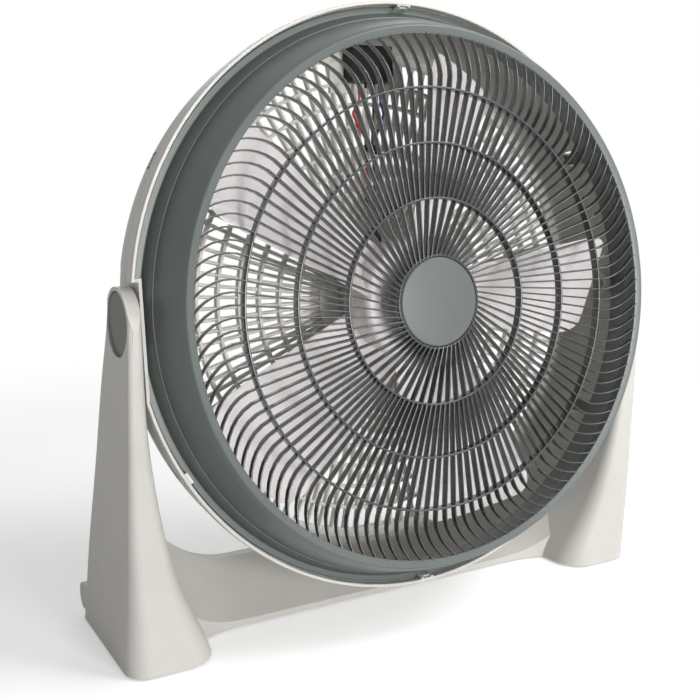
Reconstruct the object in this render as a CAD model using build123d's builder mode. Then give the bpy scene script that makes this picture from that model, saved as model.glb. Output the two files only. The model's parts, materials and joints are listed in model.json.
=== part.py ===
from build123d import *

import math
import os

os.makedirs("parts", exist_ok=True)

# Driving dimensions in millimetres and degrees.
# Frame: X across the fan, -Y forward, +Z up, floor at z = 0.

# Stance and fits
pivot_height = 320.0
head_tilt = 5.0
running_gap = 0.3
shaft_fit = 0.05
seat_gap = 0.6

# Drum. Depths in the head are measured forward from the tilt axis, along the head's own axis.
rim_radius = 280.0
rim_wall = 3.1
rim_front = 21.2
rim_back = 8.0
rim_step = 3.0
rim_round = 1.0
ledge_front = 12.0
drum_wall = 3.0
drum_back = -58.0
taper_start = -27.0
taper_round = 25.0
back_radius = 256.0
back_round = 9.0
side_cut = 8.5
side_cut_top = 35.0
side_boss_radius = 12.0
side_boss_depth = 13.0

# Rear grille
rear_bars = 72
rear_bar = 2.4
rear_ring = 2.4
rear_zones = 6
rear_grille_depth = 5.5
rear_seat_width = 7.0
rear_edge_ring = 2.0
motor_disc_radius = 66.0
rear_screw_count = 6
rear_screw_radius = 1.6
rear_screw_length = 7.0

# Bezel
lip_inner = 241.5
lip_outer = 249.6
lip_inner_front = 68.4
lip_front = 70.3
lip_round = 2.0
crease_radius = 262.9
crease_front = 28.1
gutter_radius = 270.4
gutter_fillet = 5.0
flange_thickness = 2.9
bezel_wall = 2.4

# Front grille
grille_front = 65.2
grille_depth = 8.6
grille_seat = 3.1
grille_rings = (95.6, 145.8, 195.4)
grille_ring_width = 1.9
slat_width = 1.9
slat_count = 120
slat_offset = 14.5
slat_curl = 5.2
slat_curl_start = 200.0
slat_phase = 1.4
hub_plate_radius = 44.2
hub_plate_thickness = 4.2
badge_radius = 41.8
badge_edge = 1.2

# Snap latches between bezel and drum
latch_count = 6
latch_angle = 30.0
latch_width = 12.0
latch_thickness = 3.0
latch_hook = 2.4
window_front = -13.0
window_length = 14.0
window_width = 17.0

# Bright clips on the flange, at the top and the bottom: leaning tabs with two ribs and a crosspiece
clip_count = 2
clip_radius = 272.4
clip_width = 14.0
clip_length = 9.5
clip_lean = 2.6
clip_thickness = 1.0
clip_bar = 2.6
clip_rib = 1.0
clip_cross_start = 3.6
clip_cross_end = 6.4

# White tabs on the rim over the bezel's flange
rim_tab_angles = (210.0, 330.0)
rim_tab_width = 11.0
rim_tab_reach = 3.2

# Impeller
blade_count = 5
blade_tip_radius = 234.0
blade_thickness = 2.6
blade_camber = 7.0
blade_middle = 17.0
# Distance from the axis, half width across, half depth along the axis
blade_stations = ((50.0, 27.0, 20.0), (130.0, 39.5, 25.0), (245.0, 55.5, 26.5))
cup_radius = 60.0
cup_wall = 2.5
cup_front = 34.0
cup_back = -8.0
cup_boss_radius = 9.0
cup_boss_depth = 24.0
hub_nut_radius = 9.5
hub_nut_depth = 8.0

# Motor
motor_radius = 46.0
motor_wall = 3.0
motor_back = -46.0
motor_front = 2.0
stator_back = -31.0
stator_front = -13.0
stator_radius = 45.0
rotor_radius = 24.0
air_gap = 0.5
winding_inner = 27.0
winding_outer = 34.4
winding_depth = 7.5
shaft_radius = 4.0
bearing_radius = 8.0
bearing_depth = 6.0
bearing_boss_radius = 11.0
motor_screw_count = 4
motor_screw_circle = 40.0
motor_screw_radius = 1.9
screw_head_radius = 3.5
screw_head_depth = 2.4
standoff_radius = 5.0

# Cover on the back of the motor disc, and what it holds
cover_radius = 64.0
cover_depth = 26.0
cover_wall = 2.5
cover_round = 6.0
cover_screw_count = 4
cover_screw_start = 45.0
cover_screw_circle = 54.0
cover_screw_seat = 6.0
cover_screw_radius = 1.7
gland_radius = 5.5
gland_bore = 3.5
gland_flange_radius = 8.5
gland_flange = 2.4
gland_length = 15.0
block_size = (28.0, 12.0, 12.0)
block_bottom = 36.0
capacitor_size = (44.0, 28.0, 18.0)
capacitor_bottom = -45.0
capacitor_lead_across = 11.2

# Speed switch
switch_across = -4.0
switch_up = 231.5
switch_size = (45.0, 34.0, 20.0)
panel_half_width = 42.0
panel_bottom = 205.0
bushing_radius = 5.0
bushing_length = 10.0
switch_nut_radius = 8.0
switch_nut_depth = 2.4
spindle_radius = 3.0
spindle_length = 24.0
knob_radius = 19.0
knob_depth = 19.0
knob_wall = 2.5
knob_hub_radius = 6.0
knob_gap = 1.0
knob_flutes = 16
knob_flute_radius = 1.6
terminal_size = (3.0, 6.0, 0.8)
terminal_pitch = 8.0

# Wires. The drops are measured down from the switch terminals.
wire_count = 4
wire_radius = 1.2
wire_pitch = 4.0
wire_bend = 5.0
wire_drop = 12.0
wire_turn_drop = 24.0
wire_turn_depth = 4.0
wire_meet_drop = 48.0
wire_slot_up = 54.0
wire_slot_height = 8.0
motor_slot_drop = 5.0
motor_slot_height = 5.0
inner_wire_bend = 3.0
wire_clip_heights = (96.0, 148.0)
wire_clip_height = 6.0
wire_clip_wall = 2.0

# Yoke
yoke_wall = 2.6
leg_thickness = 12.4
leg_flare = 9.2
leg_front = 31.8
leg_front_foot = 22.1
leg_top_radius = 31.8
foot_lift = 2.0
pad_radius = 14.0
pad_proud = 0.6
crossbar_front = 34.5
crossbar_rear = 134.0
crossbar_lip = 8.0
crossbar_height = 48.0
ridge_start = 101.0
ridge_end = 113.0
blend_start = 145.0
blend_end_inset = 11.0
blend_forward = 55.0
blend_lip_rise = 88.0
blend_rise = 92.0
blend_back = 30.0
blend_steps = 9
front_power = 3
ridge_power = 2.2
back_power = 2
lug_reach = 158.0
lug_top = 33.0
lug_tall = 27.0
lug_across = 24.0
lug_inset = 18.4
lug_round = 12.0
least_round = 1.0

# Tilt pivots
washer_thickness = 1.6
washer_radius = 13.0
cap_radius = 27.9
cap_recess_radius = 28.5
cap_recess_depth = 7.0
cap_thickness = 2.4
cap_sink = 1.2
cap_edge = 0.8
bolt_radius = 4.0
bolt_head_radius = 8.0
bolt_head_depth = 3.0
bolt_tail = 2.0
pivot_nut_radius = 7.5
pivot_nut_depth = 6.0

# Underside
foot_post_radius = 5.0
plate_thickness = 3.0
plate_screw_radius = 1.9
plate_screw_length = 16.0
plate_screw_head_radius = 4.0
plate_screw_head = 1.5
rubber_foot_radius = 9.0
rubber_foot_places = ((272.0, -6.0), (272.0, 124.0))
foot_post_places = ((246.0, 12.0), (246.0, 96.0), (92.0, 106.0))

# Legs from the ground up: share of the pivot height, how far the inner face stands inwards of its place
# at the pivot (front edge, rear edge), reach to the rear, radius of the outer and inner upright corners.
leg_stations = (
    (0.00, 62.0, 74.0, 146.5, 20.0, 30.0),
    (0.13, 44.0, 66.0, 133.0, 17.0, 24.0),
    (0.29, 25.0, 38.0, 115.0, 12.0, 16.0),
    (0.57, 7.5, 10.0, 80.5, 7.0, 7.0),
    (0.81, 1.2, 1.2, 54.5, 4.5, 4.5),
    (0.94, 0.4, 0.4, 38.5, 4.0, 4.0),
    (1.00, 0.0, 0.0, 32.2, 4.0, 4.0),
    (1.12, 0.0, 0.0, 32.2, 4.0, 4.0),
)

# Places worked out from the driving dimensions
tilt = math.radians(head_tilt)
drum_radius = rim_radius - rim_step
ledge_radius = drum_radius - drum_wall
flange_radius = rim_radius - rim_wall - seat_gap
flange_front = ledge_front + flange_thickness
head_half_width = rim_radius - side_cut
flat_inner = head_half_width - drum_wall
rear_grille_back = drum_back + drum_wall
rear_grille_front = rear_grille_back + rear_grille_depth
rear_grille_radius = back_radius - back_round - running_gap
back_lip_inner = rear_grille_radius - rear_seat_width
grille_back = grille_front - grille_depth
grille_radius = lip_inner + grille_seat
pad_face = head_half_width + washer_thickness + running_gap
leg_inner = pad_face + pad_proud
leg_outer = leg_inner + leg_thickness
recess_floor = leg_outer - cap_recess_depth
boss_inner = flat_inner - side_boss_depth
bolt_inner = boss_inner - running_gap - pivot_nut_depth - bolt_tail
lip_reach = lip_front * math.cos(tilt) + lip_outer * math.sin(tilt)
pivot_y = (lip_reach - lug_reach) / 2
pivot = Vector(0, pivot_y, pivot_height)
forward = Vector(0, -math.cos(tilt), math.sin(tilt))
upward = Vector(0, math.sin(tilt), math.cos(tilt))
across = Vector(1, 0, 0)
head_axis = Axis(pivot, forward)


def head_point(x, up, out):
    """Place in the fan's frame of a point given in the head's frame."""
    return pivot + across * x + upward * up + forward * out


def head_plane(out):
    """Plane square to the head's axis, facing forward."""
    return Plane(origin=head_point(0, 0, out), x_dir=across, z_dir=forward)


def radius_plane():
    """Plane through the head's axis: local x is the radius, local y the depth forward."""
    return Plane(origin=pivot, x_dir=across, z_dir=upward * -1)


def side_plane(x):
    """Plane square to the tilt axis: local x is rearward, local y is up from the pivot."""
    return Plane(origin=(x, pivot_y, pivot_height), x_dir=(0, 1, 0), z_dir=(1, 0, 0))


def floor_plane(height):
    """Level plane whose local origin lies under the pivot."""
    return Plane(origin=(0, pivot_y, height))


def save(part, name):
    part.label = name
    export_step(part, f"parts/{name}.step")
    print(name, len(part.solids()), round(part.volume))


def turned(points):
    """Ring or disc turned about the head's axis from (radius, depth) points."""
    with BuildPart() as ring:
        with BuildSketch(radius_plane()):
            with BuildLine():
                Polyline(*points, close=True)
            make_face()
        revolve(axis=head_axis)
    return ring.part


def tube(inner, outer, back, front):
    """Round tube on the head's axis."""
    return turned(((inner, back), (outer, back), (outer, front), (inner, front)))


def pins(places, radius, back, front):
    """Round pins along the head's axis at (x, up) places."""
    with BuildPart() as group:
        with BuildSketch(head_plane(back)):
            with Locations(*places):
                Circle(radius)
        extrude(amount=front - back)
    return group.part


def ring_places(count, radius, start):
    """Even places on a circle in the head's frame."""
    angles = [math.radians(start + 360 / count * turn) for turn in range(count)]
    return [(radius * math.cos(angle), radius * math.sin(angle)) for angle in angles]


def pierced_disc(radius, holes):
    """Face of a disc with many holes."""
    return Face(Wire([Edge.make_circle(radius)]), holes)


# Front grille: slats that lean off the radius and curl back at the lip

def slat_point(radius, start, side):
    """Point on a slat's middle line, or half its width to one side."""
    lean = math.asin(slat_offset / radius)
    lean_slope = -slat_offset / math.sqrt(radius**2 - slat_offset**2)
    reach = max(0.0, (radius - slat_curl_start) / (lip_inner - slat_curl_start))
    curl = math.radians(slat_curl) * reach**2
    curl_slope = radius * 2 * math.radians(slat_curl) * reach / (lip_inner - slat_curl_start)
    half_angle = slat_width / 2 * math.hypot(1, lean_slope + curl_slope) / radius
    angle = math.radians(start) + lean + curl + side * half_angle
    return radius * math.cos(angle), radius * math.sin(angle)


def slat_cell(inner, outer, count):
    """Opening between two neighbouring slats and two rings."""
    pitch = 360 / count
    radii = (inner, outer)
    if outer > slat_curl_start:
        radii = (inner, (inner + 2 * outer) / 3, outer)
    right = [slat_point(radius, slat_phase, 1) for radius in radii]
    left = [slat_point(radius, slat_phase + pitch, -1) for radius in reversed(radii)]
    with BuildSketch() as cell:
        with BuildLine():
            Spline(*right)
            ThreePointArc(right[-1], slat_point(outer, slat_phase + pitch / 2, 0), left[0])
            Spline(*left)
            ThreePointArc(left[-1], slat_point(inner, slat_phase + pitch / 2, 0), right[0])
        make_face()
    return cell.sketch.face().outer_wire()


def grille_openings():
    """All openings of the front grille: half as many slats inside the first ring."""
    edges = (hub_plate_radius, *grille_rings, lip_inner)
    openings = []
    for zone, (inner, outer) in enumerate(zip(edges[:-1], edges[1:])):
        count = slat_count if zone else slat_count // 2
        cell_inner = inner + grille_ring_width / 2 if zone else inner
        cell_outer = outer - grille_ring_width / 2 if outer < lip_inner else outer
        cell = slat_cell(cell_inner, cell_outer, count)
        openings += [cell.rotate(Axis.Z, 360 / count * turn) for turn in range(count)]
    return openings


with BuildPart() as front_grille:
    with BuildSketch(head_plane(grille_back)):
        add(pierced_disc(grille_radius, grille_openings()))
    extrude(amount=grille_depth, clean=False)
    with BuildSketch(head_plane(grille_back + hub_plate_thickness)):
        Circle(badge_radius + running_gap)
    extrude(amount=grille_depth, mode=Mode.SUBTRACT, clean=False)
save(front_grille.part, "front_grille")

with BuildPart() as hub_badge:
    with BuildSketch(head_plane(grille_back + hub_plate_thickness)):
        Circle(badge_radius)
    extrude(amount=grille_depth - hub_plate_thickness)
    chamfer(hub_badge.faces().sort_by(head_axis)[-1].edges(), badge_edge)
save(hub_badge.part, "hub_badge")

# Bezel: lip, cone, gutter and flange, with latch fingers behind the flange
bezel_outline = (
    (lip_inner, lip_inner_front),
    (lip_outer, lip_front),
    (crease_radius, crease_front),
    (gutter_radius, flange_front),
    (flange_radius, flange_front),
    (flange_radius, ledge_front),
    (crease_radius - bezel_wall, ledge_front),
    (crease_radius - bezel_wall, crease_front),
    (grille_radius + bezel_wall, grille_back),
    (grille_radius, grille_back),
    (grille_radius, grille_front),
    (lip_inner, grille_front),
)
finger_outer = ledge_radius - seat_gap
hook_front = window_front - seat_gap
hook_back = window_front - window_length + seat_gap

with BuildPart() as bezel:
    with BuildSketch(radius_plane()) as bezel_profile:
        with BuildLine():
            Polyline(*bezel_outline, close=True)
        make_face()
        fillet(bezel_profile.vertices().sort_by_distance((gutter_radius, flange_front))[:1], gutter_fillet)
        fillet(bezel_profile.vertices().sort_by_distance((lip_outer, lip_front))[:1], lip_round)
    revolve(axis=head_axis)
    with BuildSketch(head_plane(hook_back)):
        with PolarLocations(finger_outer - latch_thickness / 2, latch_count, start_angle=latch_angle):
            Rectangle(latch_thickness, latch_width)
    extrude(amount=flange_front - hook_back - flange_thickness / 2)
    with BuildSketch(head_plane(hook_back)):
        with PolarLocations(finger_outer, latch_count, start_angle=latch_angle):
            Rectangle(2 * latch_hook, latch_width)
    extrude(amount=hook_front - hook_back)
    # Flat sides beside the pivots
    bezel_flat_top = side_cut_top + drum_wall + 2 * seat_gap
    for side in (-1, 1):
        with BuildSketch(head_plane(0)):
            with Locations((side * (flat_inner - seat_gap), bezel_flat_top)):
                Rectangle(side_cut * 2, rim_radius, align=(Align.MIN if side > 0 else Align.MAX, Align.MAX))
        extrude(amount=lip_front, mode=Mode.SUBTRACT)
save(bezel.part, "bezel")

# Bright clips at the top and the bottom
clip_plane = Plane(origin=pivot, x_dir=upward, z_dir=across)
clip_slope = clip_lean / clip_length


def clip_layer(inner, outer, start, end, middle, width):
    """Layer of a leaning clip: radii at the flange, ends measured from it, middle and width across."""
    with BuildPart() as layer:
        with BuildSketch(clip_plane.offset(middle - width / 2)):
            with BuildLine():
                Polyline(
                    (inner + clip_slope * start, flange_front + start),
                    (outer + clip_slope * start, flange_front + start),
                    (outer + clip_slope * end, flange_front + end),
                    (inner + clip_slope * end, flange_front + end),
                    close=True,
                )
            make_face()
        extrude(amount=width)
    return layer.part


rib_inner = clip_radius - clip_rib
with BuildPart() as clip:
    add(clip_layer(clip_radius, clip_radius + clip_thickness, 0, clip_length, 0, clip_width))
    add(clip_layer(rib_inner, clip_radius, clip_cross_start, clip_cross_end, 0, clip_width))
    for side in (-1, 1):
        add(clip_layer(rib_inner, clip_radius, 0, clip_length, side * (clip_width - clip_bar) / 2, clip_bar))

with BuildPart() as grille_clips:
    for turn in range(clip_count):
        add(clip.part.rotate(head_axis, 360 / clip_count * turn))
    add(bezel.part, mode=Mode.SUBTRACT)
save(grille_clips.part, "grille_clips")

# Drum: rim, wall, taper to the rounded back, and back lip
taper_slope = (drum_radius - back_radius) / (taper_start - drum_back)
taper_shift = drum_wall * math.tan(math.atan(taper_slope) / 2)
inner_taper_start = taper_start + taper_shift
inner_back_radius = ledge_radius - taper_slope * (inner_taper_start - rear_grille_back)
drum_outline = (
    (rim_radius - rim_wall, rim_front),
    (rim_radius, rim_front),
    (rim_radius, rim_back),
    (drum_radius, rim_back - rim_step),
    (drum_radius, taper_start),
    (back_radius, drum_back),
    (back_lip_inner, drum_back),
    (back_lip_inner, rear_grille_back),
    (inner_back_radius, rear_grille_back),
    (ledge_radius, inner_taper_start),
    (ledge_radius, ledge_front),
    (rim_radius - rim_wall, ledge_front),
)
flat_half_height = math.sqrt(drum_radius**2 - flat_inner**2)

# Middle of the wall, where the flat sides end
middle_radius = drum_radius - drum_wall / 2
middle_taper = taper_start + taper_shift / 2
middle_back = middle_taper - (middle_radius - flat_inner + drum_wall) / taper_slope
wall_middle = (
    (0, middle_back),
    (flat_inner - drum_wall, middle_back),
    (middle_radius, middle_taper),
    (middle_radius, ledge_front),
    (0, ledge_front),
)

with BuildPart() as rim_envelope:
    with BuildSketch(head_plane(rim_back)):
        Circle(rim_radius)
    extrude(amount=rim_front - rim_back)

with BuildPart() as rim_walls:
    # Flat and square step in the rim
    for side in (-1, 1):
        edge = Align.MIN if side > 0 else Align.MAX
        with BuildSketch(head_plane(rim_back)):
            with Locations((side * flat_inner, side_cut_top)):
                Rectangle(drum_wall, side_cut_top + flat_half_height, align=(edge, Align.MAX))
            with Locations((side * flat_inner, side_cut_top)):
                Rectangle(side_cut + drum_wall, drum_wall, align=(edge, Align.MIN))
        extrude(amount=rim_front - rim_back)
    add(rim_envelope.part, mode=Mode.INTERSECT)

with BuildPart() as side_walls:
    # Flat wall behind the rim
    for side in (-1, 1):
        edge = Align.MIN if side > 0 else Align.MAX
        with BuildSketch(head_plane(drum_back)):
            with Locations((side * flat_inner, 0)):
                Rectangle(drum_wall, 2 * flat_half_height, align=(edge, Align.CENTER))
        extrude(amount=rim_back - drum_back)
    add(turned(wall_middle), mode=Mode.INTERSECT)
    add(rim_walls.part)

with BuildPart() as drum:
    with BuildSketch(radius_plane()) as drum_profile:
        with BuildLine():
            Polyline(*drum_outline, close=True)
        make_face()
        corners = drum_profile.vertices()
        fillet(corners.sort_by_distance((drum_radius, taper_start))[:1], taper_round)
        fillet(corners.sort_by_distance((ledge_radius, inner_taper_start))[:1], taper_round - drum_wall)
        fillet(corners.sort_by_distance((back_radius, drum_back))[:1], back_round)
        fillet(corners.sort_by_distance((inner_back_radius, rear_grille_back))[:1], back_round - drum_wall)
        fillet(corners.sort_by_distance((rim_radius, rim_front))[:1], rim_round)
    revolve(axis=head_axis)
    add(side_walls.part)
    # Flats beside the legs: full height behind the rim, and up to the square step in the rim
    for side in (-1, 1):
        edge = Align.MIN if side > 0 else Align.MAX
        with BuildSketch(head_plane(drum_back)):
            with Locations((side * head_half_width, 0)):
                Rectangle(2 * side_cut, 2 * rim_radius, align=(edge, Align.CENTER))
        extrude(amount=rim_back - rim_step - drum_back, mode=Mode.SUBTRACT)
        with BuildSketch(head_plane(drum_back)):
            with Locations((side * head_half_width, side_cut_top)):
                Rectangle(2 * side_cut, 2 * rim_radius, align=(edge, Align.MAX))
        extrude(amount=2 * rim_front - drum_back, mode=Mode.SUBTRACT)
    # Bosses for the pivot bolts
    for side in (-1, 1):
        with BuildSketch(side_plane(side * boss_inner)):
            Circle(side_boss_radius)
        extrude(amount=side * (side_boss_depth + drum_wall / 2))
        with BuildSketch(side_plane(side * (boss_inner - seat_gap))):
            Circle(bolt_radius + shaft_fit)
        extrude(amount=side * (rim_radius - boss_inner), mode=Mode.SUBTRACT)
    # Latch windows
    with BuildSketch(head_plane(window_front - window_length)):
        with PolarLocations(drum_radius, latch_count, start_angle=latch_angle):
            Rectangle(3 * drum_wall, window_width)
    extrude(amount=window_length, mode=Mode.SUBTRACT)
    # Tabs that hold the bezel's flange
    with BuildSketch(head_plane(flange_front + seat_gap)):
        for angle in rim_tab_angles:
            with PolarLocations(rim_radius - rim_wall / 2, 1, start_angle=angle):
                Rectangle(rim_tab_reach + rim_wall / 2, rim_tab_width, align=(Align.MAX, Align.CENTER))
    extrude(amount=rim_front - rim_round - flange_front - seat_gap)
    # Screw holes in the back lip
    rear_screw_places = ring_places(rear_screw_count, back_lip_inner + rear_seat_width / 2, 0)
    add(pins(rear_screw_places, rear_screw_radius + shaft_fit, drum_back - drum_wall, rear_grille_back),
        mode=Mode.SUBTRACT)
save(drum.part, "drum")

# Rear grille: radial bars and rings around a solid motor disc, with a switch panel at the top

def bar_cell(inner, outer, middle_angle):
    """Opening between two radial bars and two rings, about one middle angle."""
    corners = []
    for radius, side in ((inner, -1), (outer, -1), (outer, 1), (inner, 1)):
        angle = middle_angle + side * (math.pi / rear_bars - math.asin(rear_bar / 2 / radius))
        corners.append((radius * math.cos(angle), radius * math.sin(angle)))
    outer_middle = (outer * math.cos(middle_angle), outer * math.sin(middle_angle))
    inner_middle = (inner * math.cos(middle_angle), inner * math.sin(middle_angle))
    edges = [
        Edge.make_line(corners[0], corners[1]),
        Edge.make_three_point_arc(corners[1], outer_middle, corners[2]),
        Edge.make_line(corners[2], corners[3]),
        Edge.make_three_point_arc(corners[3], inner_middle, corners[0]),
    ]
    return Wire(edges)


def rear_openings():
    """All openings of the rear grille, leaving out those that the switch panel covers."""
    clear_radius = back_lip_inner - rear_edge_ring
    zone_depth = (clear_radius - motor_disc_radius) / rear_zones
    openings = []
    for zone in range(rear_zones):
        inner = motor_disc_radius + zone_depth * zone + (rear_ring if zone else 0)
        outer = motor_disc_radius + zone_depth * (zone + 1)
        for bar in range(rear_bars):
            angle = 2 * math.pi / rear_bars * (bar + 0.5)
            beside_panel = abs(outer * math.cos(angle)) > panel_half_width or math.sin(angle) < 0
            if outer < panel_bottom or beside_panel:
                openings.append(bar_cell(inner, outer, angle))
    return openings


motor_screw_places = ring_places(motor_screw_count, motor_screw_circle, 0)
cover_screw_places = ring_places(cover_screw_count, cover_screw_circle, cover_screw_start)
wire_columns = [wire_pitch * (number - (wire_count - 1) / 2) for number in range(wire_count)]
wire_slot_width = wire_count * wire_pitch
motor_slot_up = block_bottom - motor_slot_drop

with BuildPart() as rear_grille:
    with BuildSketch(head_plane(rear_grille_back)):
        add(pierced_disc(rear_grille_radius, rear_openings()))
    extrude(amount=rear_grille_depth, clean=False)
    with BuildSketch(head_plane(rear_grille_front)):
        with Locations(*motor_screw_places):
            Circle(standoff_radius)
    extrude(amount=motor_back - rear_grille_front, clean=False)
    with BuildSketch(head_plane(rear_grille_back)):
        with Locations(*motor_screw_places):
            Circle(motor_screw_radius + shaft_fit)
        with Locations(*cover_screw_places):
            Circle(cover_screw_radius + shaft_fit)
        with Locations(*rear_screw_places):
            Circle(rear_screw_radius + shaft_fit)
        with Locations((0, wire_slot_up)):
            Rectangle(wire_slot_width, wire_slot_height)
        with Locations((0, motor_slot_up)):
            Rectangle(wire_slot_width, motor_slot_height)
        with Locations((switch_across, switch_up)):
            Circle(bushing_radius + shaft_fit)
    extrude(amount=motor_back - rear_grille_back, mode=Mode.SUBTRACT, clean=False)
save(rear_grille.part, "rear_grille")

with BuildPart() as rear_grille_screws:
    add(pins(rear_screw_places, rear_screw_radius, drum_back, drum_back + rear_screw_length))
    add(pins(rear_screw_places, 2 * rear_screw_radius, drum_back - rear_screw_radius, drum_back))
save(rear_grille_screws.part, "rear_grille_screws")

# Motor casing: two cups with bearing bosses, clamping the stator between them
casing_screw_radius = motor_screw_radius + running_gap


def casing_cup(back, front, wall_back, wall_front, boss_back, boss_front, pocket_back, pocket_front):
    """Motor end shell with its bearing boss, bearing pocket and screw holes."""
    drill_back = back - motor_wall
    drill_front = front + motor_wall
    with BuildPart() as cup:
        add(tube(motor_radius - motor_wall, motor_radius, back, front))
        add(tube(shaft_radius + seat_gap, motor_radius, wall_back, wall_front))
        add(tube(shaft_radius + seat_gap, bearing_boss_radius, boss_back, boss_front))
        add(tube(0, bearing_radius + shaft_fit, pocket_back, pocket_front), mode=Mode.SUBTRACT)
        add(pins(motor_screw_places, standoff_radius, back, front))
        add(pins(motor_screw_places, casing_screw_radius, drill_back, drill_front), mode=Mode.SUBTRACT)
    return cup


rear_bearing_back = motor_back + motor_wall / 2
rear_bearing_front = rear_bearing_back + bearing_depth
front_bearing_front = motor_front - motor_wall / 2
front_bearing_back = front_bearing_front - bearing_depth
motor_rear_shell = casing_cup(
    motor_back, stator_back, motor_back, motor_back + motor_wall,
    motor_back, rear_bearing_front,
    rear_bearing_back, rear_bearing_front + motor_wall,
)
with BuildPart() as motor_rear_shell_drilled:
    add(motor_rear_shell.part)
    with BuildSketch(head_plane(motor_back)):
        with Locations((0, motor_slot_up)):
            Rectangle(wire_slot_width, motor_slot_height)
    extrude(amount=motor_wall, mode=Mode.SUBTRACT)
save(motor_rear_shell_drilled.part, "motor_rear_shell")

motor_front_shell = casing_cup(
    stator_front, motor_front, motor_front - motor_wall, motor_front,
    front_bearing_back, motor_front,
    front_bearing_back - motor_wall, front_bearing_front,
)
save(motor_front_shell.part, "motor_front_shell")

with BuildPart() as stator_core:
    add(tube(rotor_radius + air_gap, stator_radius, stator_back, stator_front))
    add(pins(motor_screw_places, casing_screw_radius, stator_back, stator_front), mode=Mode.SUBTRACT)
save(stator_core.part, "stator_core")

with BuildPart() as stator_windings:
    add(tube(winding_inner, winding_outer, stator_back - winding_depth, stator_back))
    add(tube(winding_inner, winding_outer, stator_front, stator_front + winding_depth))
save(stator_windings.part, "stator_windings")

with BuildPart() as motor_screws:
    add(pins(motor_screw_places, motor_screw_radius, rear_grille_back + seat_gap, motor_front))
    add(pins(motor_screw_places, screw_head_radius, motor_front, motor_front + screw_head_depth))
save(motor_screws.part, "motor_screws")

bearing_bore = shaft_radius + shaft_fit
save(tube(bearing_bore, bearing_radius, rear_bearing_back, rear_bearing_front), "bearing_rear")
save(tube(bearing_bore, bearing_radius, front_bearing_back, front_bearing_front), "bearing_front")

# Turning parts
hub_boss_back = cup_front - cup_boss_depth
with BuildPart() as motor_shaft:
    with BuildSketch(head_plane(rear_bearing_back)):
        Circle(shaft_radius)
    extrude(amount=cup_front + hub_nut_depth - rear_bearing_back)
save(motor_shaft.part, "motor_shaft")

save(tube(bearing_bore, rotor_radius, stator_back, stator_front), "rotor_core")


def blade_section(distance, half_width, half_depth):
    """Cambered blade section square to the radius: leading edge back, trailing edge forward."""
    plane = Plane(origin=pivot, x_dir=upward, z_dir=across).offset(distance)
    chord = math.hypot(half_width, half_depth)
    normal = (half_depth / chord, -half_width / chord)
    half = blade_thickness / 2

    def beside(share, rise):
        x = half_width * share + normal[0] * rise
        y = blade_middle + half_depth * share + normal[1] * rise
        return x, y

    with BuildSketch(plane) as section:
        with BuildLine():
            ThreePointArc(beside(-1, half), beside(0, blade_camber + half), beside(1, half))
            Line(beside(1, half), beside(1, -half))
            ThreePointArc(beside(1, -half), beside(0, blade_camber - half), beside(-1, -half))
            Line(beside(-1, -half), beside(-1, half))
        make_face()
    return section.sketch


with BuildPart() as blade:
    loft([blade_section(*station) for station in blade_stations])
    add(tube(0, blade_tip_radius, drum_back, lip_front), mode=Mode.INTERSECT)

with BuildPart() as impeller:
    for turn in range(blade_count):
        add(blade.part.rotate(head_axis, 360 / blade_count * turn))
    add(tube(cup_radius - cup_wall, cup_radius, cup_back, cup_front))
    add(tube(0, cup_radius - cup_wall, cup_back - lip_front, cup_front - cup_wall), mode=Mode.SUBTRACT)
    add(tube(0, cup_radius, cup_front - cup_wall, cup_front))
    add(tube(0, cup_boss_radius, hub_boss_back, cup_front))
    add(tube(0, bearing_bore, hub_boss_back, cup_front), mode=Mode.SUBTRACT)
save(impeller.part, "impeller")

with BuildPart() as impeller_nut:
    add(tube(bearing_bore, hub_nut_radius, cup_front, cup_front + hub_nut_depth))
    chamfer(impeller_nut.faces().sort_by(head_axis)[-1].outer_wire().edges(), badge_edge)
save(impeller_nut.part, "impeller_nut")

# Rear motor cover with its screws, gland, terminal block and capacitor
cover_back = rear_grille_back - cover_depth
cover_floor = cover_back + cover_wall
cover_inner = cover_radius - cover_wall
seat_depth = rear_grille_back - cover_screw_seat
gland_depth = (rear_grille_back + cover_back) / 2
gland_plane = Plane(origin=head_point(0, 0, gland_depth), x_dir=across, z_dir=upward)

with BuildPart() as motor_cover:
    with BuildSketch(radius_plane()) as cover_profile:
        with BuildLine():
            Polyline(
                (0, cover_back),
                (cover_radius, cover_back),
                (cover_radius, rear_grille_back),
                (cover_inner, rear_grille_back),
                (cover_inner, cover_floor),
                (0, cover_floor),
                close=True,
            )
        make_face()
        fillet(cover_profile.vertices().sort_by_distance((cover_radius, cover_back))[:1], cover_round)
        inner_corner = cover_profile.vertices().sort_by_distance((cover_inner, cover_floor))[:1]
        fillet(inner_corner, cover_round - cover_wall)
    revolve(axis=head_axis)
    add(pins(cover_screw_places, standoff_radius, cover_back + cover_wall / 2, rear_grille_back))
    add(pins(cover_screw_places, screw_head_radius + seat_gap, cover_back, seat_depth), mode=Mode.SUBTRACT)
    cover_hole_radius = cover_screw_radius + shaft_fit
    add(pins(cover_screw_places, cover_hole_radius, cover_back, rear_grille_back), mode=Mode.SUBTRACT)
    with BuildSketch(gland_plane.offset(-cover_radius)):
        Circle(gland_radius + shaft_fit)
    extrude(amount=cover_radius / 2, mode=Mode.SUBTRACT)
save(motor_cover.part, "motor_cover")

with BuildPart() as cover_screws:
    add(pins(cover_screw_places, cover_screw_radius, seat_depth, rear_grille_front - seat_gap))
    add(pins(cover_screw_places, screw_head_radius, seat_depth - screw_head_depth, seat_depth))
save(cover_screws.part, "cover_screws")

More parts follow.
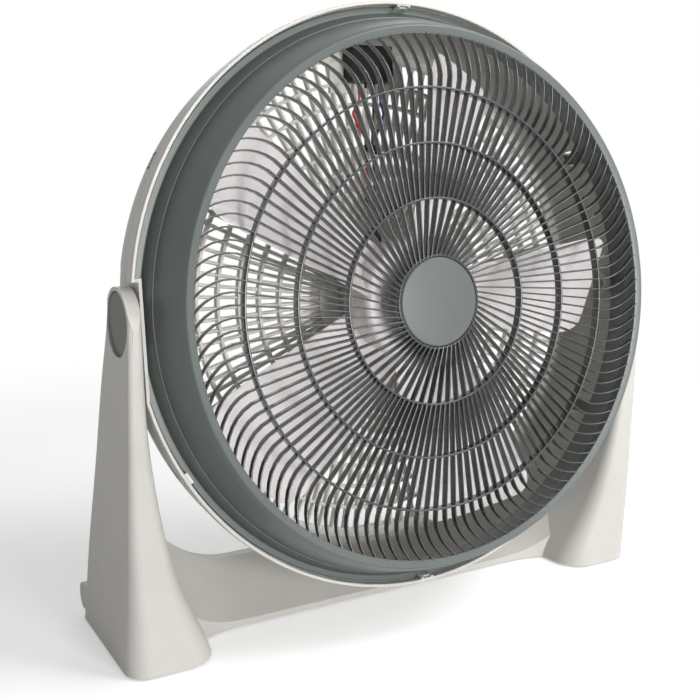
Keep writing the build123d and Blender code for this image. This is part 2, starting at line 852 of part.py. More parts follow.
with BuildPart() as cord_gland:
    with BuildSketch(gland_plane.offset(gland_length / 2 - cover_radius)):
        Circle(gland_radius)
    extrude(amount=-gland_length)
    with BuildSketch(gland_plane.offset(-cover_radius)):
        Circle(gland_flange_radius)
    extrude(amount=-gland_flange)
    with BuildSketch(gland_plane.offset(gland_length - cover_radius)):
        Circle(gland_bore)
    extrude(amount=-2 * gland_length, mode=Mode.SUBTRACT)
save(cord_gland.part, "cord_gland")


def back_block(size, bottom):
    """Rectangular part seated on the back of the motor disc."""
    with BuildPart() as block:
        with BuildSketch(head_plane(rear_grille_back)):
            with Locations((0, bottom)):
                Rectangle(size[0], size[1], align=(Align.CENTER, Align.MIN))
        extrude(amount=-size[2])
        fillet(block.edges().filter_by(head_axis), wire_radius)
    return block.part


save(back_block(block_size, block_bottom), "terminal_block")
save(back_block(capacitor_size, capacitor_bottom), "capacitor")

# Speed switch on the panel, its nut, spindle and knob
terminal_bottom = switch_up - switch_size[1] / 2 - terminal_size[1]
terminal_front = rear_grille_front + switch_size[2] / 2
terminal_columns = [switch_across + terminal_pitch / wire_pitch * column for column in wire_columns]

with BuildPart() as switch_body:
    with BuildSketch(head_plane(rear_grille_front)):
        with Locations((switch_across, switch_up)):
            Rectangle(switch_size[0], switch_size[1])
    extrude(amount=switch_size[2])
    fillet(switch_body.edges().filter_by(head_axis), wire_radius)
    with BuildSketch(head_plane(rear_grille_front)):
        with Locations((switch_across, switch_up)):
            Circle(bushing_radius)
    extrude(amount=-bushing_length)
    with BuildSketch(head_plane(terminal_front)):
        for column in terminal_columns:
            with Locations((column, terminal_bottom)):
                Rectangle(terminal_size[0], 2 * terminal_size[1], align=(Align.CENTER, Align.MIN))
    extrude(amount=terminal_size[2])
    with BuildSketch(head_plane(rear_grille_front - bushing_length)):
        with Locations((switch_across, switch_up)):
            Circle(spindle_radius + shaft_fit)
    extrude(amount=bushing_length + switch_size[2] / 2, mode=Mode.SUBTRACT)
save(switch_body.part, "switch_body")

with BuildPart() as switch_nut:
    with BuildSketch(head_plane(rear_grille_back)):
        with Locations((switch_across, switch_up)):
            RegularPolygon(switch_nut_radius, 6)
            Circle(bushing_radius + shaft_fit, mode=Mode.SUBTRACT)
    extrude(amount=-switch_nut_depth)
save(switch_nut.part, "switch_nut")

spindle_front = rear_grille_front + switch_size[2] / 2 - seat_gap
with BuildPart() as switch_spindle:
    with BuildSketch(head_plane(spindle_front)):
        with Locations((switch_across, switch_up)):
            Circle(spindle_radius)
    extrude(amount=-spindle_length - switch_size[2] / 2)
save(switch_spindle.part, "switch_spindle")

knob_front = drum_back - knob_gap
with BuildPart() as speed_knob:
    with BuildSketch(head_plane(knob_front)):
        with Locations((switch_across, switch_up)):
            Circle(knob_radius)
            with PolarLocations(knob_radius, knob_flutes):
                Circle(knob_flute_radius, mode=Mode.SUBTRACT)
    extrude(amount=-knob_depth)
    with BuildSketch(head_plane(knob_front)):
        with Locations((switch_across, switch_up)):
            Circle(knob_radius - knob_wall)
    extrude(amount=-(knob_depth - knob_wall), mode=Mode.SUBTRACT)
    with BuildSketch(head_plane(knob_front - knob_depth)):
        with Locations((switch_across, switch_up)):
            Circle(knob_hub_radius)
    extrude(amount=knob_depth - bushing_length)
    with BuildSketch(head_plane(knob_front)):
        with Locations((switch_across, switch_up)):
            Circle(spindle_radius + shaft_fit)
    extrude(amount=-(knob_depth - knob_wall), mode=Mode.SUBTRACT)
save(speed_knob.part, "speed_knob")

# Wires: from the switch terminals down the back grille, through the motor disc, into the block
block_top = block_bottom + block_size[1]
wire_run_depth = rear_grille_front + wire_radius + running_gap
wire_end_depth = rear_grille_back - block_size[2] / 2


def wire(points, bend, name):
    """Insulated wire along straight runs joined by arcs."""
    path_points = [head_point(*point) for point in points]
    with BuildPart() as lead:
        with BuildLine() as path:
            FilletPolyline(*path_points, radius=bend)
        with BuildSketch(Plane(origin=path_points[0], z_dir=path_points[1] - path_points[0])):
            Circle(wire_radius)
        sweep()
    save(lead.part, name)


wire_names = ("wire_red", "wire_white", "wire_black", "wire_blue")
for name, start_x, run_x in zip(wire_names, terminal_columns, wire_columns):
    bulge = (start_x - switch_across) / 2
    wire(
        (
            (start_x, terminal_bottom, terminal_front + terminal_size[2] / 2),
            (start_x, terminal_bottom - wire_drop, terminal_front + terminal_size[2] / 2),
            (start_x + bulge, terminal_bottom - wire_turn_drop, terminal_front - wire_turn_depth),
            (run_x, terminal_bottom - wire_meet_drop, wire_run_depth),
            (run_x, wire_slot_up, wire_run_depth),
            (run_x, wire_slot_up, wire_end_depth),
            (run_x, block_top, wire_end_depth),
        ),
        wire_bend, name,
    )

# Short leads inside the cover: two to the capacitor, three to the motor windings
lead_depth = wire_end_depth - 2 * wire_radius
capacitor_top = capacitor_bottom + capacitor_size[1]
with BuildPart() as capacitor_leads:
    with BuildSketch(Plane(origin=head_point(0, capacitor_top, lead_depth), x_dir=across, z_dir=upward)):
        for side in (-1, 1):
            with Locations((side * capacitor_lead_across, 0)):
                Circle(wire_radius)
    extrude(amount=block_bottom - capacitor_top)
save(capacitor_leads.part, "capacitor_leads")

with BuildPart() as motor_leads:
    for column in (-wire_pitch, 0, wire_pitch):
        start = head_point(column, motor_slot_up, stator_back - winding_depth)
        corner = head_point(column, motor_slot_up, wire_end_depth)
        end = head_point(column, block_bottom, wire_end_depth)
        with BuildLine() as path:
            FilletPolyline(start, corner, end, radius=inner_wire_bend)
        with BuildSketch(Plane(origin=start, z_dir=corner - start)):
            Circle(wire_radius)
        sweep(path=path.line)
save(motor_leads.part, "motor_leads")

# Clips that hold the four wires on the back grille
wire_clip_width = wire_slot_width + wire_clip_wall
wire_clip_depth = 2 * wire_radius + running_gap + wire_clip_wall
with BuildPart() as wire_clips:
    for height in wire_clip_heights:
        clip_plane = Plane(origin=head_point(0, height, rear_grille_front), x_dir=across, z_dir=upward)
        with BuildSketch(clip_plane):
            Rectangle(wire_clip_width, wire_clip_depth, align=(Align.CENTER, Align.MAX))
            for column in wire_columns:
                with Locations((column, -(wire_run_depth - rear_grille_front))):
                    Circle(wire_radius + shaft_fit, mode=Mode.SUBTRACT)
        extrude(amount=wire_clip_height)
save(wire_clips.part, "wire_clips")

# Yoke

def leg_section(station, inset, drop):
    """Level section of the right leg, drawn in by an inset on every side."""
    share, front_step, rear_step, rear, outer_round, inner_round = station
    rise = min(share, 1)
    height = foot_lift + share * (pivot_height - foot_lift) - (0 if share else drop)
    outer = leg_outer + leg_flare * (1 - rise) - inset
    front = inset - leg_front_foot - (leg_front - leg_front_foot) * rise
    inner_front = leg_inner - front_step + inset
    inner_rear = leg_inner - rear_step + inset
    outer_round = max(outer_round - inset, least_round)
    inner_round = max(inner_round - inset, least_round)
    with BuildSketch(floor_plane(height)) as section:
        with BuildLine():
            Polyline(
                (outer, front),
                (outer, rear - inset),
                (inner_rear, rear - inset),
                (inner_front, front),
                close=True,
            )
        make_face()
        fillet(section.vertices().sort_by(Axis.X)[-2:], outer_round)
        fillet(section.vertices().sort_by_distance((inner_front, front))[:1], inner_round)
        fillet(section.vertices().sort_by_distance((inner_rear, rear - inset))[:1], outer_round)
    return section.sketch


def crossbar_section(share, inset, drop):
    """Upright section of the crossbar: share 0 is its straight middle, 1 is inside the leg."""
    x = blend_start + (leg_inner - blend_end_inset - blend_start) * share
    front = crossbar_front - blend_forward * share**front_power + inset
    lip = crossbar_lip + blend_lip_rise * share**front_power - inset / 2
    ridge = crossbar_height + blend_rise * share**ridge_power - inset
    back_shift = blend_back * share**back_power
    section_plane = Plane(origin=(x, pivot_y, 0), x_dir=(0, 1, 0), z_dir=(1, 0, 0))
    with BuildSketch(section_plane) as section:
        with BuildLine():
            Polyline(
                (front, foot_lift - drop),
                (front, lip),
                (ridge_start - back_shift + inset / 2, ridge),
                (ridge_end - back_shift - inset / 2, ridge),
                (crossbar_rear - inset, foot_lift - drop),
                close=True,
            )
        make_face()
    return section.sketch


def yoke_form(inset, drop):
    """Right half of the yoke as a solid: leg and crossbar, rounded over at the pivot."""
    with BuildPart() as form:
        loft([leg_section(station, inset, drop) for station in leg_stations])
        with BuildSketch(side_plane(0)):
            Circle(leg_top_radius - inset)
            Rectangle(2 * pivot_height, 2 * pivot_height, align=(Align.CENTER, Align.MAX))
        extrude(amount=leg_outer * 2, mode=Mode.INTERSECT)
        loft([crossbar_section(step / blend_steps, inset, drop) for step in range(blend_steps + 1)])
        extrude(crossbar_section(0, inset, drop), amount=-blend_start)
    return form.part


yoke_outside = yoke_form(0, 0)
yoke_cavity = yoke_form(yoke_wall, foot_lift)
plate_form = yoke_form(yoke_wall + running_gap, foot_lift)

with BuildPart() as foot_posts:
    with BuildSketch(floor_plane(foot_lift + plate_thickness)):
        with Locations(*foot_post_places):
            Circle(foot_post_radius)
    extrude(amount=pivot_height / 2)
    add(yoke_outside, mode=Mode.INTERSECT)

with BuildPart() as pivot_boss:
    with BuildSketch(side_plane(leg_inner)):
        with Locations((0, -cap_recess_radius - yoke_wall)):
            Rectangle(pivot_height, pivot_height, align=(Align.CENTER, Align.MIN))
    extrude(amount=leg_thickness)
    add(yoke_outside, mode=Mode.INTERSECT)

with BuildPart() as yoke_half:
    add(yoke_outside)
    add(yoke_cavity, mode=Mode.SUBTRACT)
    add(foot_posts.part)
    add(pivot_boss.part)
    with BuildSketch(side_plane(pad_face)):
        Circle(pad_radius)
    extrude(amount=recess_floor - pad_face)
    with BuildSketch(side_plane(recess_floor)):
        Circle(cap_recess_radius)
    extrude(amount=2 * cap_recess_depth, mode=Mode.SUBTRACT)
    with BuildSketch(side_plane(pad_face)):
        Circle(bolt_radius + shaft_fit)
    extrude(amount=cap_recess_depth + leg_thickness, mode=Mode.SUBTRACT)
    # Screw holes up into the posts
    with BuildSketch(floor_plane(foot_lift)):
        with Locations(*foot_post_places):
            Circle(plate_screw_radius + shaft_fit)
    extrude(amount=plate_screw_length, mode=Mode.SUBTRACT)
    # Rounded lug behind the leg
    with BuildSketch(side_plane(leg_outer - lug_inset)) as lug:
        with Locations((lug_reach, lug_top - pivot_height)):
            Rectangle(lug_reach - crossbar_rear + lug_across, lug_tall, align=(Align.MAX, Align.MAX))
        fillet(lug.vertices().sort_by(Axis.X)[-2:], lug_round)
    extrude(amount=lug_across)

with BuildPart() as base_shell:
    add(yoke_half.part)
    add(yoke_half.part.mirror(Plane.YZ))
save(base_shell.part, "base_shell")

with BuildPart() as base_plate:
    add(plate_form)
    add(plate_form.mirror(Plane.YZ))
    with BuildSketch(floor_plane(foot_lift)):
        Rectangle(3 * leg_outer, 3 * leg_outer)
    extrude(amount=plate_thickness, mode=Mode.INTERSECT)
    for side in (-1, 1):
        screw_places = [(side * x, y) for x, y in foot_post_places]
        with BuildSketch(floor_plane(foot_lift)):
            with Locations(*screw_places):
                Circle(plate_screw_radius + shaft_fit)
        extrude(amount=plate_thickness, mode=Mode.SUBTRACT)
        with BuildSketch(floor_plane(foot_lift)):
            with Locations(*screw_places):
                Circle(plate_screw_head_radius + shaft_fit)
        extrude(amount=plate_screw_head, mode=Mode.SUBTRACT)
save(base_plate.part, "base_plate")

with BuildPart() as base_screws:
    for side in (-1, 1):
        screw_places = [(side * x, y) for x, y in foot_post_places]
        with BuildSketch(floor_plane(foot_lift)):
            with Locations(*screw_places):
                Circle(plate_screw_head_radius)
        extrude(amount=plate_screw_head)
        with BuildSketch(floor_plane(foot_lift)):
            with Locations(*screw_places):
                Circle(plate_screw_radius)
        extrude(amount=plate_screw_length - seat_gap)
save(base_screws.part, "base_screws")

with BuildPart() as rubber_feet:
    with BuildSketch(floor_plane(0)):
        for side in (-1, 1):
            with Locations(*[(side * x, y) for x, y in rubber_foot_places]):
                Circle(rubber_foot_radius)
    extrude(amount=foot_lift)
save(rubber_feet.part, "rubber_feet")

# Tilt pivots: bolt from outside through the leg into the drum's boss, held by a nut inside
for side, hand in ((-1, "left"), (1, "right")):
    with BuildPart() as pivot_bolt:
        with BuildSketch(side_plane(side * bolt_inner)):
            Circle(bolt_radius)
        extrude(amount=side * (recess_floor - bolt_inner))
        with BuildSketch(side_plane(side * recess_floor)):
            Circle(bolt_head_radius)
        extrude(amount=side * bolt_head_depth)
    save(pivot_bolt.part, f"pivot_bolt_{hand}")

    with BuildPart() as pivot_nut:
        with BuildSketch(side_plane(side * (boss_inner - running_gap))):
            RegularPolygon(pivot_nut_radius, 6)
            Circle(bolt_radius + shaft_fit, mode=Mode.SUBTRACT)
        extrude(amount=-side * pivot_nut_depth)
    save(pivot_nut.part, f"pivot_nut_{hand}")

    with BuildPart() as friction_washer:
        with BuildSketch(side_plane(side * head_half_width)):
            Circle(washer_radius)
            Circle(bolt_radius + shaft_fit, mode=Mode.SUBTRACT)
        extrude(amount=side * washer_thickness)
    save(friction_washer.part, f"friction_washer_{hand}")

    with BuildPart() as pivot_cap:
        with BuildSketch(side_plane(side * (leg_outer - cap_sink))):
            Circle(cap_radius)
        extrude(amount=-side * cap_thickness)
        with BuildSketch(side_plane(side * (leg_outer - cap_sink))):
            Circle(cap_radius)
            Circle(cap_radius - cap_thickness, mode=Mode.SUBTRACT)
        extrude(amount=-side * (cap_recess_depth - cap_sink))
        outer_face = pivot_cap.faces().sort_by(Axis.X)[-1 if side > 0 else 0]
        chamfer(outer_face.outer_wire().edges(), cap_edge)
    save(pivot_cap.part, f"pivot_cap_{hand}")
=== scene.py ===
import json
import math
import bmesh
import bpy
import numpy as np
from mathutils import Matrix, Vector


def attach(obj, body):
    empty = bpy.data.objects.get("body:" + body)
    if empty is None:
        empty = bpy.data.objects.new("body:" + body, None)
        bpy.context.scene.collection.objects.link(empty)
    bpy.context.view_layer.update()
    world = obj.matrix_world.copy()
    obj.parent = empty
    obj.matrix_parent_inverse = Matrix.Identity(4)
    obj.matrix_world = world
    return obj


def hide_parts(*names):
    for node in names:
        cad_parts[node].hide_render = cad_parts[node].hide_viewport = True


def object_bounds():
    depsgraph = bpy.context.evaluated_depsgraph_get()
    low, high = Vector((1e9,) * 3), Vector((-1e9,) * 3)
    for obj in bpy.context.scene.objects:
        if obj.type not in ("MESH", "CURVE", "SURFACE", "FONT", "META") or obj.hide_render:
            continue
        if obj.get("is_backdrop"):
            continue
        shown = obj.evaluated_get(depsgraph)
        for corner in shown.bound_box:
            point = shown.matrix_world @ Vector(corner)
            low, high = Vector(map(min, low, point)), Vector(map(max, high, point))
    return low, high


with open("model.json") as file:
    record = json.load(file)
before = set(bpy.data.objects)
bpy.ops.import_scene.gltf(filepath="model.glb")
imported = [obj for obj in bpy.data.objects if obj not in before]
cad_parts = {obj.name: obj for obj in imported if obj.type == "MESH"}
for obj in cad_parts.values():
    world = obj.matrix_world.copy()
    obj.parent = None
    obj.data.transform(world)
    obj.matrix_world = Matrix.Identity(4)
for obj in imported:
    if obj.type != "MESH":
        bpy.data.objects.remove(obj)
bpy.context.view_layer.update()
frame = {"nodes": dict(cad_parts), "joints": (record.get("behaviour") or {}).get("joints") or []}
nodes = frame["nodes"]
joints = {joint["name"]: joint for joint in frame["joints"]}
link = bpy.context.scene.collection.objects.link
print("frame loaded:", len(nodes), "nodes")

# The head's own frame, from the tilt axis: x across, up, and out the way the air blows.
# Sizes in the pieces' dictionaries are in millimetres and degrees.
pivot = np.array(joints["head_tilt"]["pos_m"])
outward = np.array(joints["impeller_spin"]["axis"])
across = np.array([1.0, 0.0, 0.0])
upward = np.cross(outward, across)
millimetres = 1000


def headPoints(x, up, out):
    x, up, out = (values[..., None] for values in np.broadcast_arrays(x, up, out))
    return pivot + (x * across + up * upward + out * outward) / millimetres


# Camera at the photograph's place

camera = {
    "place": (-0.53524, -0.88419, 0.46069),
    "right": (0.87234652, -0.48885338, -0.00582348),
    "up": (0.09621011, 0.1599814, 0.98242026),
    "lens": 53.04, "sensor": 36,
}
lensData = bpy.data.cameras.new("camera")
lensData.lens = camera["lens"]
lensData.sensor_width = camera["sensor"]
viewCamera = bpy.data.objects.new("camera", lensData)
right, top = Vector(camera["right"]), Vector(camera["up"])
facing = Matrix((right, top, right.cross(top))).transposed().to_4x4()
viewCamera.matrix_world = Matrix.Translation(camera["place"]) @ facing
link(viewCamera)
bpy.context.scene.camera = viewCamera


# Meshes from grids

# A grid of points becomes quads; a closed direction joins its last line to its first.
def gridQuads(rows, columns, closeRows, closeColumns):
    index = np.arange(rows * columns).reshape(rows, columns)
    if closeRows:
        index = np.vstack([index, index[:1]])
    if closeColumns:
        index = np.hstack([index, index[:, :1]])
    corners = (index[:-1, :-1], index[1:, :-1], index[1:, 1:], index[:-1, 1:])
    return np.stack(corners, -1).reshape(-1, 4)


def newShape():
    return {"points": [], "faces": [], "count": 0}


# Tubes: each is a row of closed cross-sections; open ends get one flat face each.
def addTubes(shape, tubes, closed=False):
    count, stations, around = tubes.shape[:3]
    starts = shape["count"] + np.arange(count) * stations * around
    quads = gridQuads(stations, around, closed, True)[None] + starts[:, None, None]
    shape["faces"] += quads.reshape(-1, 4).tolist()
    if not closed:
        firstEnd = starts[:, None] + np.arange(around)
        lastEnd = firstEnd + (stations - 1) * around
        shape["faces"] += firstEnd.tolist() + lastEnd[:, ::-1].tolist()
    shape["points"].append(tubes.reshape(-1, 3))
    shape["count"] += count * stations * around


# The corners of a straight-sided profile, from the inner back round to the inner front
def boxCorners(inner, outer, back, front):
    return [(inner, back), (outer, back), (outer, front), (inner, front)]


# A profile's corners rounded: each corner is left and met again at its own setback, along
# point = (1 - t)^2 * start + 2t(1 - t) * corner + t^2 * end.
def rounded(corners, setbacks, steps=5):
    corners = np.array(corners, float)
    setbacks = np.broadcast_to(np.array(setbacks, float), len(corners))[:, None]
    before = np.roll(corners, 1, 0) - corners
    after = np.roll(corners, -1, 0) - corners
    start = corners + before / np.linalg.norm(before, axis=1, keepdims=True) * setbacks
    end = corners + after / np.linalg.norm(after, axis=1, keepdims=True) * setbacks
    t = np.linspace(0, 1, steps)[None, :, None]
    curve = (1 - t)**2 * start[:, None] + 2 * t * (1 - t) * corners[:, None] + t**2 * end[:, None]
    return curve.reshape(-1, 2)


# Turned: a closed (radius, depth) profile carried round the head's axis, or round a centre:
# x = centre x + radius * cos(turn), up = centre up + radius * sin(turn), out = depth.
def addTurned(shape, profile, steps=240, centre=(0, 0)):
    profile = np.array(profile, float)
    turn = np.linspace(0, 2 * math.pi, steps, endpoint=False)[:, None]
    x = centre[0] + profile[None, :, 0] * np.cos(turn)
    up = centre[1] + profile[None, :, 0] * np.sin(turn)
    addTubes(shape, headPoints(x, up, profile[None, :, 1])[None], closed=True)


# Turned about the tilt axis: a closed (radius, x) profile,
# up = radius * cos(turn), out = radius * sin(turn).
def addSideways(shape, profile, steps=48):
    profile = np.array(profile, float)
    turn = np.linspace(0, 2 * math.pi, steps, endpoint=False)[:, None]
    up, out = profile[None, :, 0] * np.cos(turn), profile[None, :, 0] * np.sin(turn)
    addTubes(shape, headPoints(profile[None, :, 1], up, out)[None], closed=True)


# Sections repeated round the head's axis, from a radius and a sideways offset:
# x = radius * cos(turn) - sideways * sin(turn), up = radius * sin(turn) + sideways * cos(turn).
def turnedPoints(radius, sideways, turns, depth):
    x = radius * np.cos(turns) - sideways * np.sin(turns)
    up = radius * np.sin(turns) + sideways * np.cos(turns)
    return headPoints(x, up, depth)


# An arc in (radius, depth), turning backwards from the way out:
# (centre radius + radius * cos(turn), centre depth - radius * sin(turn)).
def arcRows(centreRadius, centreDepth, radius, turns):
    return [(centreRadius + radius * math.cos(turn), centreDepth - radius * math.sin(turn))
            for turn in turns]


# Distances in metres below which points are one, and faces have no size
merge = {"doubles": 2e-6, "degenerate": 1e-6}


# The finished mesh: doubles merged, faces turned outwards, and edges sharper than the angle
# kept crisp.
def makePiece(name, shape, body, material, replaced=(), sharp=35):
    mesh = bpy.data.meshes.new(name)
    mesh.from_pydata(np.concatenate(shape["points"]).tolist(), [], shape["faces"])
    work = bmesh.new()
    work.from_mesh(mesh)
    bmesh.ops.remove_doubles(work, verts=work.verts, dist=merge["doubles"])
    bmesh.ops.dissolve_degenerate(work, edges=work.edges, dist=merge["degenerate"])
    bmesh.ops.recalc_face_normals(work, faces=work.faces)
    work.to_mesh(mesh)
    work.free()
    mesh.polygons.foreach_set("use_smooth", np.ones(len(mesh.polygons), bool))
    mesh.set_sharp_from_angle(angle=math.radians(sharp))
    mesh.materials.append(material)
    piece = bpy.data.objects.new(name, mesh)
    link(piece)
    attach(piece, body)
    if replaced:
        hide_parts(*replaced)


# Finishes

# The spans say which part of a noise runs from one end of a colour or roughness to the other.
noise = {
    "colourSpan": (0.35, 0.65), "roughSpan": (0.3, 0.7), "cloudScale": 14, "cloudDetail": 3.0,
    "grainDetail": 2.0,
}


def addNoise(tree, scale, detail, stretch=(1, 1, 1)):
    coordinates = tree.nodes.new("ShaderNodeTexCoord")
    mapping = tree.nodes.new("ShaderNodeMapping")
    mapping.inputs["Scale"].default_value = stretch
    texture = tree.nodes.new("ShaderNodeTexNoise")
    texture.inputs["Scale"].default_value = scale
    texture.inputs["Detail"].default_value = detail
    tree.links.new(coordinates.outputs["Object"], mapping.inputs["Vector"])
    tree.links.new(mapping.outputs["Vector"], texture.inputs["Vector"])
    return texture.outputs["Fac"]


def addRamp(tree, factor, low, high):
    ramp = tree.nodes.new("ShaderNodeValToRGB")
    for element, place, colour in zip(ramp.color_ramp.elements, noise["colourSpan"], (low, high)):
        element.position = place
        element.color = (*colour, 1)
    tree.links.new(factor, ramp.inputs["Fac"])
    return ramp.outputs["Color"]


def addRange(tree, factor, low, high):
    spread = tree.nodes.new("ShaderNodeMapRange")
    spread.inputs["From Min"].default_value = noise["roughSpan"][0]
    spread.inputs["From Max"].default_value = noise["roughSpan"][1]
    spread.inputs["To Min"].default_value = low
    spread.inputs["To Max"].default_value = high
    tree.links.new(factor, spread.inputs["Value"])
    return spread.outputs["Result"]


# One finish: a colour with cloudy variation, a roughness that follows a fine grain, and the
# same grain in the bump.
def makeFinish(name, colour, shade, rough, grain=900, depth=0.00003, strength=0.25,
               metallic=0.0, coat=0.0, stretch=(1, 1, 1), specular=0.5):
    material = bpy.data.materials.new(name)
    material.use_nodes = True
    tree = material.node_tree
    shader = tree.nodes["Principled BSDF"]
    cloudNoise = addNoise(tree, noise["cloudScale"], noise["cloudDetail"])
    darker = tuple(channel * (1 - shade) for channel in colour)
    lighter = tuple(min(1.0, channel * (1 + shade)) for channel in colour)
    tree.links.new(addRamp(tree, cloudNoise, darker, lighter), shader.inputs["Base Color"])
    grainNoise = addNoise(tree, grain, noise["grainDetail"], stretch)
    tree.links.new(addRange(tree, grainNoise, *rough), shader.inputs["Roughness"])
    bump = tree.nodes.new("ShaderNodeBump")
    bump.inputs["Strength"].default_value = strength
    bump.inputs["Distance"].default_value = depth
    tree.links.new(grainNoise, bump.inputs["Height"])
    tree.links.new(bump.outputs["Normal"], shader.inputs["Normal"])
    shader.inputs["Metallic"].default_value = metallic
    shader.inputs["Coat Weight"].default_value = coat
    shader.inputs["Specular IOR Level"].default_value = specular
    return material


moulded = {"grain": 1400, "strength": 0.2}
finishes = {
    "shell": makeFinish("shellPlastic", (0.50, 0.487, 0.455), 0.025, (0.42, 0.52), **moulded),
    "drum": makeFinish("drumPlastic", (0.56, 0.55, 0.515), 0.03, (0.40, 0.50), **moulded),
    # The rear grille and motor cover are the drum's plastic, painted lighter to stand in for the
    # light that falls on them inside the head: painted light.
    "rear": makeFinish("rearPaintedLightPlastic", (0.72, 0.70, 0.65), 0.03, (0.40, 0.50), **moulded),
    "blade": makeFinish("bladePlastic", (0.93, 0.885, 0.88), 0.03, (0.28, 0.36),
                        grain=500, strength=0.1),
    "bezel": makeFinish("bezelPlastic", (0.090, 0.104, 0.098), 0.05, (0.34, 0.44), **moulded),
    # The front grille is the bezel's grey plastic, painted far darker so the slats' flanks read as
    # shaded: painted shade.
    "grille": makeFinish("grillePaintedShadePlastic", (0.036, 0.040, 0.039), 0.06, (0.20, 0.30),
                         strength=0.15, coat=0.45),
    "badge": makeFinish("badgePaint", (0.100, 0.109, 0.104), 0.05, (0.38, 0.46),
                        grain=2200, strength=0.2, metallic=0.25),
    "cap": makeFinish("capPlastic", (0.056, 0.058, 0.050), 0.05, (0.40, 0.50),
                      specular=0.35, **moulded),
    "chrome": makeFinish("clipSteel", (0.52, 0.53, 0.52), 0.05, (0.22, 0.34),
                         grain=300, strength=0.1, metallic=0.4),
    "black": makeFinish("blackPlastic", (0.008, 0.008, 0.009), 0.2, (0.40, 0.50), specular=0.25),
    "rubber": makeFinish("footRubber", (0.045, 0.045, 0.045), 0.25, (0.70, 0.85),
                         grain=700, strength=0.5),
    "zinc": makeFinish("zincSteel", (0.56, 0.56, 0.54), 0.10, (0.28, 0.42),
                       grain=800, metallic=1.0),
    "lamination": makeFinish("laminationSteel", (0.30, 0.30, 0.31), 0.15, (0.40, 0.60),
                             grain=400, stretch=(0.2, 4, 0.2), strength=0.8, depth=0.0002,
                             metallic=1.0),
    "cast": makeFinish("castAluminium", (0.58, 0.59, 0.60), 0.10, (0.45, 0.60),
                       grain=1200, strength=0.5, metallic=1.0),
    "copper": makeFinish("copperWire", (0.55, 0.22, 0.10), 0.20, (0.25, 0.40),
                         grain=1500, stretch=(1, 0.1, 1), strength=0.9, depth=0.0002,
                         metallic=1.0),
    "fibre": makeFinish("fibreWasher", (0.18, 0.10, 0.06), 0.20, (0.70, 0.85),
                        grain=1800, strength=0.4),
    "capacitor": makeFinish("capacitorCase", (0.62, 0.61, 0.57), 0.04, (0.35, 0.45)),
    "red": makeFinish("redVinyl", (0.48, 0.015, 0.015), 0.10, (0.25, 0.35)),
    "white": makeFinish("whiteVinyl", (0.72, 0.72, 0.69), 0.05, (0.25, 0.35)),
    "blackWire": makeFinish("blackVinyl", (0.015, 0.015, 0.015), 0.15, (0.25, 0.35)),
    "blue": makeFinish("blueVinyl", (0.03, 0.06, 0.38), 0.10, (0.25, 0.35)),
}

# Every node that isn't named here is bare zinc-plated steel.
finishOf = {
    "base_shell": "shell", "base_plate": "shell", "drum": "drum", "rear_grille": "rear",
    "motor_cover": "rear", "impeller": "blade", "impeller_nut": "bezel", "bezel": "bezel",
    "front_grille": "grille", "speed_knob": "bezel", "pivot_cap_left": "cap",
    "pivot_cap_right": "cap", "hub_badge": "badge", "grille_clips": "chrome",
    "switch_body": "black", "cord_gland": "black", "terminal_block": "black",
    "wire_clips": "black", "rubber_feet": "rubber", "stator_core": "lamination",
    "rotor_core": "lamination", "stator_windings": "copper", "motor_rear_shell": "cast",
    "motor_front_shell": "cast", "friction_washer_left": "fibre",
    "friction_washer_right": "fibre", "capacitor": "capacitor", "wire_red": "red",
    "wire_white": "white", "wire_black": "blackWire", "wire_blue": "blue",
    "capacitor_leads": "blackWire", "motor_leads": "white",
}
for nodeName, node in nodes.items():
    node.data.materials.clear()
    node.data.materials.append(finishes[finishOf.get(nodeName, "zinc")])
print("finishes on", len(nodes), "nodes")


# Front grille: slats, rings, hub plate and badge

grille = {
    "front": 65.2, "depth": 8.6, "slatDepth": 7.6, "thinning": 0.32, "lipRise": 3.2,
    "slatWidth": 1.6, "backWidth": 1.2, "crownShare": 0.35, "shoulderShare": 0.85,
    "shoulderDrop": 0.35, "edgeDrop": 1.2,
    "lean": 14.5, "curl": 5.2, "curlStart": 200.0, "lipRadius": 241.5,
    "phase": 1.4, "innerStep": 6.0, "outerStep": 3.0, "innerStations": (42.0, 60.0, 78.0),
    "outerStations": (146.0, 196.0, 207.0, 216.0, 224.0, 231.0, 237.0, 243.0),
    "rings": (95.6, 145.8, 195.4), "ringWidth": 2.0, "ringBehind": 0.2, "ringProud": 0.35,
    "ringRound": (0.3, 0.3, 0.8, 0.8), "ringSteps": 360,
}


# A slat's middle line: angle = start + asin(lean / radius) + curl * reach squared, with reach
# running 0 to 1 from curlStart to the lip. Its front edge rises towards the lip with the cube
# of the same reach, and its depth shrinks by thinning * reach.
def slatTubes(starts, radii):
    curlSpan = grille["lipRadius"] - grille["curlStart"]
    reach = np.clip((radii - grille["curlStart"]) / curlSpan, 0, None)
    angle = np.arcsin(grille["lean"] / radii) + math.radians(grille["curl"]) * reach**2
    angle = angle[None, :] + np.radians(starts)[:, None]
    line = np.stack([radii * np.cos(angle), radii * np.sin(angle)], -1)
    along = np.gradient(line, axis=1)
    along /= np.linalg.norm(along, axis=-1, keepdims=True)
    beside = np.stack([-along[..., 1], along[..., 0]], -1)
    half, back = grille["slatWidth"] / 2, grille["backWidth"] / 2
    oneSide = [
        (half * grille["crownShare"], 0), (half * grille["shoulderShare"], -grille["shoulderDrop"]),
        (half, -grille["edgeDrop"]), (back, -grille["slatDepth"]),
    ]
    section = np.array(oneSide + [(-sideways, drop) for sideways, drop in oneSide[::-1]])
    place = line[:, :, None, :] + beside[:, :, None, :] * section[None, None, :, :1]
    reach = reach[None, :, None]
    thinner = 1 - grille["thinning"] * np.minimum(reach, 1)
    depth = grille["front"] + grille["lipRise"] * reach**3 + section[None, None, :, 1] * thinner
    return headPoints(place[..., 0], place[..., 1], depth)


